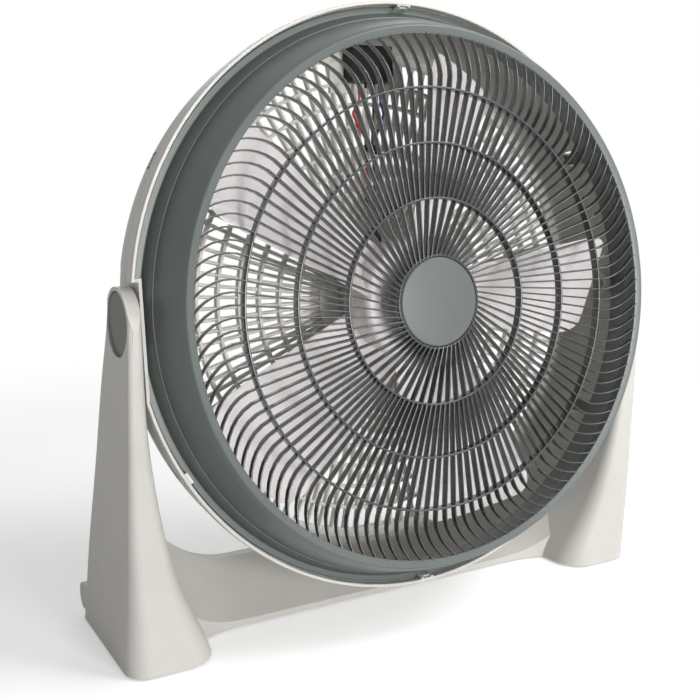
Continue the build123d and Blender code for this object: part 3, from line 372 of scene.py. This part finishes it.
slats = newShape()
innerRadii = np.array([*grille["innerStations"], grille["rings"][0]])
outerRadii = np.array([grille["rings"][0], *grille["outerStations"]])
innerStarts = grille["phase"] + np.arange(0, 360, grille["innerStep"])
outerStarts = grille["phase"] + np.arange(0, 360, grille["outerStep"])
addTubes(slats, slatTubes(innerStarts, innerRadii))
addTubes(slats, slatTubes(outerStarts, outerRadii))
makePiece("frontGrilleSlats", slats, "head", finishes["grille"], ["front_grille"],
          sharp=60)

grilleRings = newShape()
ringBack = grille["front"] - grille["depth"] - grille["ringBehind"]
ringFront = grille["front"] + grille["ringProud"]
for ringRadius in grille["rings"]:
    low, high = ringRadius - grille["ringWidth"] / 2, ringRadius + grille["ringWidth"] / 2
    ringCorners = boxCorners(low, high, ringBack, ringFront)
    addTurned(grilleRings, rounded(ringCorners, grille["ringRound"]), grille["ringSteps"])
makePiece("frontGrilleRings", grilleRings, "head", finishes["grille"])

hub = {
    "radius": 44.2, "back": 56.6, "front": 64.6, "rimInner": 42.4, "floor": 60.8,
    "round": (0, 0.4, 0.5, 0.3, 0, 0), "steps": 160,
}
hubPlate = newShape()
addTurned(hubPlate, rounded([
    (0, hub["back"]), (hub["radius"], hub["back"]), (hub["radius"], hub["front"]),
    (hub["rimInner"], hub["front"]), (hub["rimInner"], hub["floor"]), (0, hub["floor"]),
], hub["round"]), hub["steps"])
makePiece("grilleHubPlate", hubPlate, "head", finishes["grille"])

badge = {"radius": 41.8, "front": 65.4, "bevel": 1.4, "crown": 0.5, "round": (0, 0, 0.3, 0.5, 0)}
badgeShape = newShape()
addTurned(badgeShape, rounded([
    (0, hub["floor"]), (badge["radius"], hub["floor"]),
    (badge["radius"], badge["front"] - badge["bevel"]),
    (badge["radius"] - badge["bevel"], badge["front"]), (0, badge["front"] + badge["crown"]),
], badge["round"]), hub["steps"])
makePiece("hubBadge", badgeShape, "head", finishes["badge"], ["hub_badge"], sharp=25)
print("front grille")


# Impeller: five broad cambered blades on a cup, held by a nut

impeller = {
    "blades": 5, "rootRadius": 56.0, "tipStart": 205.0, "tipRadius": 233.5, "thickness": 2.6,
    "camber": 7.0, "middle": 17.0, "radii": (50.0, 130.0, 245.0),
    "halfWidths": (27.0, 39.5, 55.5), "halfDepths": (20.0, 25.0, 26.5), "edgePower": 0.45,
    "tipRound": 26.0, "tipPinch": 0.28, "spanSteps": 16, "tipSteps": (0.15, 1, 9), "around": 44,
    "cupRadius": 60.0, "cupFront": 34.0, "cupBack": -8.0, "cupWall": 2.5, "bore": 4.1,
    "seatRadius": 9.0, "seatBack": 10.0, "cupRound": (0.4, 0.4, 7, 0.3, 0.3, 0.3, 1, 5),
    "cupSteps": 160,
}

# A blade is a flat oval section whose width and depth grow along the radius: its edges lie at
# (tangential, depth) = share * (halfWidth, halfDepth), bowed by camber * (1 - share squared),
# and radial = sqrt(radius squared - tangential squared). Towards the tip the share shrinks,
# which rounds the corners.
spanRadii = np.linspace(impeller["rootRadius"], impeller["tipStart"], impeller["spanSteps"])
tipLength = impeller["tipRadius"] - impeller["tipStart"]
tipTurns = np.linspace(*impeller["tipSteps"]) * math.pi / 2
spanRadii = np.concatenate([spanRadii, impeller["tipStart"] + tipLength * np.sin(tipTurns)])
around = np.linspace(0, 2 * math.pi, impeller["around"], endpoint=False)[None, :]
share = np.cos(around)
fullness = np.abs(np.sin(around))**impeller["edgePower"]
skin = np.sign(np.sin(around)) * fullness * impeller["thickness"] / 2
halfWidth = np.interp(spanRadii, impeller["radii"], impeller["halfWidths"])[:, None]
halfDepth = np.interp(spanRadii, impeller["radii"], impeller["halfDepths"])[:, None]
roundStart = impeller["tipRadius"] - impeller["tipRound"]
tipReach = np.clip((spanRadii[:, None] - roundStart) / impeller["tipRound"], 0, 1)
share = share * (1 - impeller["tipPinch"] * (1 - np.sqrt(np.clip(1 - tipReach**2, 0, 1))))
chord = np.hypot(halfWidth, halfDepth)
rise = impeller["camber"] * (1 - share**2) + skin
tangential = halfWidth * share + halfDepth / chord * rise
bladeDepth = impeller["middle"] + halfDepth * share - halfWidth / chord * rise
radial = np.sqrt(np.clip(spanRadii[:, None]**2 - tangential**2, 1, None))
bladeTurns = np.radians(np.arange(impeller["blades"]) * 360 / impeller["blades"])[:, None, None]
blades = newShape()
addTubes(blades, turnedPoints(radial, tangential, bladeTurns, bladeDepth))
cupInner = impeller["cupRadius"] - impeller["cupWall"]
cupFloor = impeller["cupFront"] - impeller["cupWall"]
addTurned(blades, rounded([
    (cupInner, impeller["cupBack"]), (impeller["cupRadius"], impeller["cupBack"]),
    (impeller["cupRadius"], impeller["cupFront"]), (impeller["bore"], impeller["cupFront"]),
    (impeller["bore"], impeller["seatBack"]), (impeller["seatRadius"], impeller["seatBack"]),
    (impeller["seatRadius"], cupFloor), (cupInner, cupFloor),
], impeller["cupRound"]), impeller["cupSteps"])
makePiece("impellerBlades", blades, "rotor", finishes["blade"], ["impeller"],
          sharp=40)
print("impeller")


# Rear grille: radial bars, rings, motor disc, outer band and switch panel

rearGrille = {
    "front": -49.5, "bars": 105, "barPhase": 0.8, "barWidth": 3.4, "barMiddle": 150.0,
    "barPast": 0.5, "barFoot": -57.4, "barFootRound": (0.2, 0.8), "barShoulder": -52.5,
    "barTop": -51.2, "barCrown": 0.5,
    "firstRing": 88.0, "ringStep": 21.4, "rings": 7, "ringWidth": 3.4, "ringBack": -57.0,
    "ringRound": (0.4, 0.4, 0.9, 0.9), "ringSteps": 210, "roundSteps": 3,
    "discRadius": 66.0, "discRound": (0, 0.8, 0.8, 0), "discSteps": 120, "overlap": 1.0,
    "rim": 239.0, "band": 246.7, "bandBack": -55.0, "bandRound": 0.6,
    "pegCircle": 40.0, "pegRadius": 5.0, "pegBack": -49.6, "pegFront": -46.0, "pegSteps": 24,
    "panelHalf": 42.0, "panelBottom": 205.0, "panelBack": -54.6, "panelSteps": 15,
}
bars = newShape()
barTurns = np.arange(rearGrille["bars"]) * 360 / rearGrille["bars"] + rearGrille["barPhase"]
barTurns = np.radians(barTurns)[:, None, None]
barRadii = np.array([
    rearGrille["discRadius"] - rearGrille["overlap"], rearGrille["barMiddle"],
    rearGrille["rim"] + rearGrille["barPast"],
])[None, :, None]
halfBar = rearGrille["barWidth"] / 2
halfCrown = halfBar * rearGrille["barCrown"]
footLow, footHigh = (rearGrille["barFoot"] + step for step in rearGrille["barFootRound"])
barSection = np.array([
    (halfBar, footHigh), (halfBar, rearGrille["barShoulder"]), (halfCrown, rearGrille["barTop"]),
    (-halfCrown, rearGrille["barTop"]), (-halfBar, rearGrille["barShoulder"]),
    (-halfBar, footHigh), (-halfCrown, footLow), (halfCrown, footLow),
])
barSide, barDepth = barSection[None, None, :, 0], barSection[None, None, :, 1]
addTubes(bars, turnedPoints(barRadii, barSide, barTurns, barDepth))
for ringNumber in range(rearGrille["rings"]):
    ringRadius = rearGrille["firstRing"] + rearGrille["ringStep"] * ringNumber
    low, high = ringRadius - rearGrille["ringWidth"] / 2, ringRadius + rearGrille["ringWidth"] / 2
    ringCorners = boxCorners(low, high, rearGrille["ringBack"], rearGrille["front"])
    ringProfile = rounded(ringCorners, rearGrille["ringRound"], rearGrille["roundSteps"])
    addTurned(bars, ringProfile, rearGrille["ringSteps"])
bandCorners = boxCorners(rearGrille["rim"] - rearGrille["overlap"], rearGrille["band"],
                         rearGrille["bandBack"], rearGrille["front"])
addTurned(bars, rounded(bandCorners, rearGrille["bandRound"], rearGrille["roundSteps"]))
discCorners = boxCorners(0, rearGrille["discRadius"], rearGrille["barFoot"], rearGrille["front"])
discProfile = rounded(discCorners, rearGrille["discRound"], rearGrille["roundSteps"])
addTurned(bars, discProfile, rearGrille["discSteps"])
pegCorners = boxCorners(0, rearGrille["pegRadius"], rearGrille["pegBack"], rearGrille["pegFront"])
for turn in np.radians((0, 90, 180, 270)):
    pegCentre = (rearGrille["pegCircle"] * math.cos(turn), rearGrille["pegCircle"] * math.sin(turn))
    addTurned(bars, pegCorners, rearGrille["pegSteps"], pegCentre)
panelX = np.linspace(-rearGrille["panelHalf"], rearGrille["panelHalf"], rearGrille["panelSteps"])
panelX = panelX[:, None]
panelTop = np.sqrt((rearGrille["rim"] + rearGrille["overlap"])**2 - panelX**2)
panelFoot = np.full_like(panelX, rearGrille["panelBottom"])
panelUp = np.hstack([panelFoot, panelTop, panelTop, panelFoot])
panelDepth = np.repeat([rearGrille["panelBack"], rearGrille["front"]], 2)
addTubes(bars, headPoints(panelX, panelUp, panelDepth)[None])
makePiece("rearGrilleBars", bars, "head", finishes["rear"], ["rear_grille"])
print("rear grille")


# Drum: a closed wall carried round the head, flattened beside the legs, with a square step in
# the rim, latch windows, pivot bosses and two tabs over the bezel's flange

# Where the latches sit round the head
latches = {"first": 30, "step": 60, "count": 6}
drum = {
    "rimRadius": 280.0, "rimInner": 276.9, "rimInnerFront": 20.6, "rimBack": 8.0, "ledge": 12.0,
    "rimProfile": [(277.6, 21.2), (279.0, 21.2), (279.6, 20.95), (279.92, 20.4), (280.0, 19.6),
                   (280.0, 8.4), (279.7, 7.7), (277.1, 5.1)],
    "bodyRadius": 277.0, "bodyFront": 5.0, "wall": 3.0, "flat": 271.5, "stepTop": 35.0,
    "taperTurn": 34.1, "taperRound": 25.0, "taperStart": -19.33, "taperSteps": 5,
    "backRound": 9.0, "backFoot": (250.6, -49.0), "backSteps": 7,
    "backLip": [(240.1, -58), (239.7, -57.6), (239.7, -55.2)],
    "windowFront": -13.0, "windowBack": -27.0, "windowHalf": 8.5,
    "boltHole": 4.1, "bossRadius": 12.0, "bossFoot": 254.0, "bossInner": 255.5,
    "bossOuter": 270.0, "bossRound": (0.1, 1.0, 0, 0),
    "tabs": (210.0, 330.0), "tabRadii": (273.7, 278.4), "tabDepths": (15.2, 20.4),
    "tabHalf": 5.5,
}
# Outlines have plain columns at every step, but none where near the sides they would crowd the
# square steps in the rim, which have pairs of their own. A row with noStep as its top has none.
outline = {
    "step": 1.5, "clear": (5.5, 9.5), "stepAngles": (7.34, 7.35, 172.65, 172.66),
    "stepKinds": (1, 2, 2, 1), "noStep": 1e6, "decimals": 4, "margin": 0.001,
}


# Columns of an outline round the head, as angles and kinds: plain ones (kind 0) at their angle,
# and a pair at each square step, first on the flat (kind 1) and then on the circle (kind 2).
def outlineColumns(extra, windows=()):
    plain = np.arange(0, 360, outline["step"])
    near = np.abs((plain + 90) % 180 - 90)
    clearStart, clearEnd = outline["clear"]
    plain = plain[~((near > clearStart) & (near < clearEnd) & (plain < 180))]
    plain = np.unique(np.round(np.concatenate([plain, extra]), outline["decimals"]))
    for start, end in windows:
        inside = (plain > start + outline["margin"]) & (plain < end - outline["margin"])
        plain = plain[~inside]
    angles = np.concatenate([plain, outline["stepAngles"]])
    kinds = np.concatenate([np.zeros(len(plain)), outline["stepKinds"]])
    order = np.argsort(angles, kind="stable")
    return np.radians(angles[order]), kinds[order]


# Rows of (radius, depth, flat, top): x = held * cos(angle), up = held * sin(angle). Held is the
# radius, or flat / |cos(angle)| where a row reaches past its flat below its own top.
def outlinePoints(rows, angles, kinds):
    radius, depth, flat, top = (rows[None, :, number] for number in range(4))
    cosine, sine = np.cos(angles)[:, None], np.sin(angles)[:, None]
    kind, steps = kinds[:, None], top < outline["noStep"]
    past = (radius * sine < top) & (radius * np.abs(cosine) > flat)
    held = np.where(past, flat / np.maximum(np.abs(cosine), 1e-6), radius)
    x, up = held * cosine, held * sine
    stepUp = np.where(steps, top, drum["stepTop"])
    onCircle = np.sqrt(np.clip(radius**2 - stepUp**2, 0, None))
    onFlat = np.minimum(flat, onCircle)
    side = np.sign(cosine)
    x = np.where(kind == 1, side * onFlat, x)
    x = np.where(kind == 2, side * np.where(steps, onCircle, onFlat), x)
    up = np.where(kind > 0, stepUp, up)
    return headPoints(x, up, depth)


# Angles where circles of these radii cross the flats, on the sides given as (sign, turn)
def flatEnds(flatsAndRadii, sides):
    ends = [math.degrees(math.acos(flat / radius)) for flat, radius in flatsAndRadii]
    return [(sign * end + turn) % 360 for end in ends for sign, turn in sides]


outerRadius, drumWall = drum["bodyRadius"], drum["wall"]
innerRadius = outerRadius - drumWall
innerFlat, innerTop = drum["flat"] - drumWall, drum["stepTop"] + drumWall
taperCentre, taperTurn = outerRadius - drum["taperRound"], math.radians(drum["taperTurn"])


# One skin of the wall behind the rim, as body and back rows: it runs straight into the latch
# windows, an arc turns it inwards, a cone follows, and a small arc meets the back.
def wallRows(inset):
    taperRadius = drum["taperRound"] - inset
    windowTurn = math.asin((drum["taperStart"] - drum["windowBack"]) / taperRadius)
    taperTurns = np.linspace(windowTurn, taperTurn, drum["taperSteps"])[1:]
    backTurns = np.linspace(taperTurn, math.pi / 2, drum["backSteps"])
    body = [(outerRadius - inset, drum["windowFront"])]
    body += arcRows(taperCentre, drum["taperStart"], taperRadius, (0, windowTurn))
    back = arcRows(taperCentre, drum["taperStart"], taperRadius, taperTurns)
    return body, back + arcRows(*drum["backFoot"], drum["backRound"] - inset, backTurns)


outerBody, outerBack = wallRows(0)
innerBody, innerBack = wallRows(drumWall)
outerSkin = [(outerRadius, drum["bodyFront"])] + outerBody + outerBack + drum["backLip"]
innerRim = [(innerRadius, drum["rimBack"]), (innerRadius, drum["ledge"]),
            (drum["rimInner"], drum["ledge"]), (drum["rimInner"], drum["rimInnerFront"])]
drumRows = np.array(
    [(*row, drum["flat"], drum["stepTop"]) for row in drum["rimProfile"]]
    + [(*row, drum["flat"], outline["noStep"]) for row in outerSkin]
    + [(*row, innerFlat, outline["noStep"]) for row in innerBack[::-1] + innerBody[::-1]]
    + [(*row, innerFlat, innerTop) for row in innerRim])
windowSpread = math.degrees(math.asin(drum["windowHalf"] / outerRadius))
windowMiddles = [latches["first"] + latches["step"] * number for number in range(latches["count"])]
windowEdges = [(middle - windowSpread, middle + windowSpread) for middle in windowMiddles]
drumEnds = flatEnds(
    ((drum["flat"], outerRadius), (drum["flat"], drum["rimRadius"]), (innerFlat, innerRadius)),
    ((1, 0), (-1, 0), (1, 180), (-1, 180)))
windowTurns = [edge for pair in windowEdges for edge in pair]
angles, kinds = outlineColumns(np.array(drumEnds + windowTurns), windowEdges)
drumPoints = outlinePoints(drumRows, angles, kinds)
columnCount, rowCount = drumPoints.shape[:2]
quads = gridQuads(columnCount, rowCount, True, True).reshape(columnCount, rowCount, 4)
# Each latch window opens two rows of faces in both skins, and walls join its two edges.
frontRow = len(drum["rimProfile"]) + 1
innerBackRow = len(drum["rimProfile"]) + len(outerSkin) + len(innerBack)
windowColumns = np.array([
    int(np.argmin(np.abs(angles - math.radians(start)))) for start, _ in windowEdges])
keep = np.ones((columnCount, rowCount), bool)
keep[windowColumns, frontRow:frontRow + 2] = False
keep[windowColumns, innerBackRow:innerBackRow + 2] = False
index = np.arange(columnCount * rowCount).reshape(columnCount, rowCount)
loopColumns = windowColumns[:, None] + np.array([0, 0, 0, 1, 1, 1])
outerLoop = index[loopColumns, frontRow + np.array([0, 1, 2, 2, 1, 0])]
innerLoop = index[loopColumns, innerBackRow + np.array([2, 1, 0, 0, 1, 2])]
loops = (outerLoop, np.roll(outerLoop, -1, 1), np.roll(innerLoop, -1, 1), innerLoop)
windowWalls = np.stack(loops, -1).reshape(-1, 4)
drumShape = newShape()
drumShape["points"].append(drumPoints.reshape(-1, 3))
drumShape["faces"] += quads[keep].tolist() + windowWalls.tolist()
drumShape["count"] = columnCount * rowCount
for side in (-1, 1):
    foot, inner, outer = (side * drum[place] for place in ("bossFoot", "bossInner", "bossOuter"))
    addSideways(drumShape, rounded([
        (drum["boltHole"], foot), (drum["bossRadius"], inner), (drum["bossRadius"], outer),
        (drum["boltHole"], outer),
    ], drum["bossRound"]))
tabTurns = np.radians(drum["tabs"])[:, None, None]
tabRadius = np.array(drum["tabRadii"])[None, [0, 1, 1, 0], None]
tabSide = np.array([-1, 1])[None, None, :] * drum["tabHalf"]
tabDepth = np.array(drum["tabDepths"])[None, [0, 0, 1, 1], None]
tabPoints = turnedPoints(tabRadius, tabSide, tabTurns, tabDepth)
addTubes(drumShape, tabPoints.transpose(0, 2, 1, 3))
makePiece("drumShell", drumShape, "head", finishes["drum"], ["drum"],
          sharp=30)
print("drum")


# Bezel: the lip that frames the grille, a slightly bulged cone to a raised crease, a steep
# band, a gutter and the flange, with latch fingers behind it

bezel = {
    "lip": [(241.5, 65.2), (241.5, 67.4), (241.9, 68.2), (243.0, 68.7), (246.6, 69.5),
            (248.0, 69.8), (249.0, 69.4)],
    "lipOuter": 249.6, "lipFront": 70.3, "coneDrop": 0.6, "coneStations": (0.06, 1, 9),
    "bulge": 0.9, "creaseRadius": 262.9, "creaseFront": 28.1,
    "creaseAndBand": [(263.6, 27.9), (263.8, 27.5), (263.5, 27.1), (263.5, 26.5), (268.8, 17.4)],
    "gutter": 1.4, "gutterRadius": 270.4, "gutterSteps": 6, "flangeFront": 14.9,
    "flangeEdge": [(274.8, 14.9), (275.2, 14.5), (275.2, 12.5), (276.6, 12.4), (276.6, 12.0)],
    "inside": [(260.5, 12.0), (260.5, 28.1), (247.0, 56.6), (244.65, 56.6), (244.65, 65.2)],
    "flat": 267.9, "flatTop": 39.2, "flatRadii": (269.0, 270.4, 275.2), "stepShift": 0.85,
}
fingers = {
    "depths": (-26.6, -24.0, -13.5, -13.4, 13.0), "outer": (274.4, 275.8, 275.8, 273.4, 273.4),
    "inner": 270.4, "half": 6.0,
}
# The cone: radius and depth run straight from lip to crease with share, and the radius gains
# bulge * 4 * share * (1 - share).
coneShare = np.linspace(*bezel["coneStations"])
coneRadius = (bezel["lipOuter"] + (bezel["creaseRadius"] - bezel["lipOuter"]) * coneShare
              + bezel["bulge"] * 4 * coneShare * (1 - coneShare))
coneDepth = (bezel["lipFront"] - bezel["coneDrop"]
             + (bezel["creaseFront"] - bezel["lipFront"] + bezel["coneDrop"]) * coneShare)
gutterTurns = math.pi - np.linspace(0, math.pi / 2, bezel["gutterSteps"])
bezelProfile = np.array(
    bezel["lip"] + list(zip(coneRadius, coneDepth)) + bezel["creaseAndBand"]
    + arcRows(bezel["gutterRadius"], bezel["flangeFront"] + bezel["gutter"], bezel["gutter"],
              gutterTurns)
    + bezel["flangeEdge"] + bezel["inside"])
bezelFlats = np.tile([bezel["flat"], bezel["flatTop"]], (len(bezelProfile), 1))
bezelCrossings = [(bezel["flat"], radius) for radius in bezel["flatRadii"]]
bezelEnds = flatEnds(bezelCrossings, ((-1, 0), (1, 180)))
angles, kinds = outlineColumns(np.array(bezelEnds))
# The bezel's step sits higher than the drum's, so its pairs of columns move up.
shifted = angles + np.sign(np.cos(angles)) * math.radians(bezel["stepShift"])
angles = np.where(kinds > 0, shifted, angles)
bezelShape = newShape()
bezelPoints = outlinePoints(np.hstack([bezelProfile, bezelFlats]), angles, kinds)
addTubes(bezelShape, bezelPoints[None], closed=True)
# Each finger is a bar behind the flange with a hook at its end, one in each window of the drum.
fingerOuter = np.array(fingers["outer"])
fingerInner = np.full(len(fingerOuter), fingers["inner"])
fingerRadius = np.stack([fingerOuter, fingerOuter, fingerInner, fingerInner], -1)[None]
fingerSide = np.array([-1, 1, 1, -1])[None, None, :] * fingers["half"]
fingerDepth = np.array(fingers["depths"])[None, :, None]
fingerTurns = np.radians(windowMiddles)[:, None, None]
addTubes(bezelShape, turnedPoints(fingerRadius, fingerSide, fingerTurns, fingerDepth))
makePiece("bezelFrame", bezelShape, "head", finishes["bezel"], ["bezel"], sharp=28)
print("bezel")


# Floor, lamps and world

# The floor's size and its fade are in metres.
stage = {
    "floorReach": 15, "floor": 0.90, "floorGlow": 0.38, "fadeStart": 0.75, "fadeEnd": 1.5,
    "worldFill": 0.23,
}

floorReach = stage["floorReach"]
floorCorners = [(-floorReach, -floorReach, 0), (floorReach, -floorReach, 0),
                (floorReach, floorReach, 0), (-floorReach, floorReach, 0)]
floorMesh = bpy.data.meshes.new("studioFloor")
floorMesh.from_pydata(floorCorners, [], [(0, 1, 2, 3)])
floor = bpy.data.objects.new("studioFloor", floorMesh)
link(floor)
floor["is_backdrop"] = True
floorMaterial = bpy.data.materials.new("studioFloor")
floorMaterial.use_nodes = True
tree = floorMaterial.node_tree
tree.nodes.clear()


# One step of arithmetic on two sockets, or on a socket and a number
def addMath(tree, operation, first, second):
    result = tree.nodes.new("ShaderNodeMath")
    result.operation = operation
    tree.links.new(first, result.inputs[0])
    if isinstance(second, float):
        result.inputs[1].default_value = second
    else:
        tree.links.new(second, result.inputs[1])
    return result.outputs[0]


# 1 for rays that show the surface straight to the camera, in a shine or through glass
def seenDirectly(tree):
    path = tree.nodes.new("ShaderNodeLightPath")
    total = path.outputs["Is Camera Ray"]
    for kind in ("Is Glossy Ray", "Is Transmission Ray"):
        total = addMath(tree, "MAXIMUM", total, path.outputs[kind])
    return total


# Near the object the floor is lit and takes its shadow; further out it fades to plain white
# for the camera.
seen = seenDirectly(tree)
diffuse = tree.nodes.new("ShaderNodeBsdfDiffuse")
diffuse.inputs["Color"].default_value = (stage["floor"], stage["floor"], stage["floor"], 1)
glow = tree.nodes.new("ShaderNodeEmission")
glowStrength = addMath(tree, "MULTIPLY", seen, stage["floorGlow"])
tree.links.new(glowStrength, glow.inputs["Strength"])
litFloor = tree.nodes.new("ShaderNodeAddShader")
tree.links.new(diffuse.outputs[0], litFloor.inputs[0])
tree.links.new(glow.outputs[0], litFloor.inputs[1])
whiteFloor = tree.nodes.new("ShaderNodeEmission")
coordinates = tree.nodes.new("ShaderNodeTexCoord")
distance = tree.nodes.new("ShaderNodeVectorMath")
distance.operation = "LENGTH"
tree.links.new(coordinates.outputs["Object"], distance.inputs[0])
fade = tree.nodes.new("ShaderNodeMapRange")
fade.interpolation_type = "SMOOTHSTEP"
fade.inputs["From Min"].default_value = stage["fadeStart"]
fade.inputs["From Max"].default_value = stage["fadeEnd"]
tree.links.new(distance.outputs["Value"], fade.inputs["Value"])
mixed = tree.nodes.new("ShaderNodeMixShader")
tree.links.new(addMath(tree, "MULTIPLY", fade.outputs["Result"], seen), mixed.inputs["Fac"])
tree.links.new(litFloor.outputs[0], mixed.inputs[1])
tree.links.new(whiteFloor.outputs[0], mixed.inputs[2])
surface = tree.nodes.new("ShaderNodeOutputMaterial")
tree.links.new(mixed.outputs[0], surface.inputs["Surface"])
floorMesh.materials.append(floorMaterial)

# The world lights the object at worldFill, and is white where it is seen.
world = bpy.data.worlds.new("studio")
world.use_nodes = True
bpy.context.scene.world = world
tree = world.node_tree
background = tree.nodes["Background"]
background.inputs["Color"].default_value = (1, 1, 1, 1)
level = tree.nodes.new("ShaderNodeMapRange")
level.inputs["To Min"].default_value = stage["worldFill"]
level.inputs["To Max"].default_value = 1.0
tree.links.new(seenDirectly(tree), level.inputs["Value"])
tree.links.new(level.outputs["Result"], background.inputs["Strength"])

# Places, aims and sizes in metres, powers in watts
lamps = {
    "keyLamp": {"place": (0.3, -2.85, 0.45), "aim": (0, 0, 0.3), "size": 0.8, "power": 62},
    "cameraLamp": {"place": (-0.9, -2.7, 1.2), "aim": (0, 0, 0.32), "size": 1.0, "power": 6},
    "topLamp": {"place": (1.3, -1.3, 2.2), "aim": (0, 0, 0.2), "size": 1.2, "power": 42},
    "backLamp": {"place": (0.9, 2.4, 1.5), "aim": (0, 0, 0.3), "size": 1.4, "power": 12},
}
for lampName, lamp in lamps.items():
    lampData = bpy.data.lights.new(lampName, "AREA")
    lampData.shape = "SQUARE"
    lampData.size = lamp["size"]
    lampData.energy = lamp["power"]
    lampObject = bpy.data.objects.new(lampName, lampData)
    aim = Vector(lamp["aim"]) - Vector(lamp["place"])
    facing = aim.to_track_quat("-Z", "Y").to_matrix().to_4x4()
    lampObject.matrix_world = Matrix.Translation(lamp["place"]) @ facing
    link(lampObject)
bpy.context.scene.view_settings.view_transform = "Standard"
print("stage and lamps")

low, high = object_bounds()
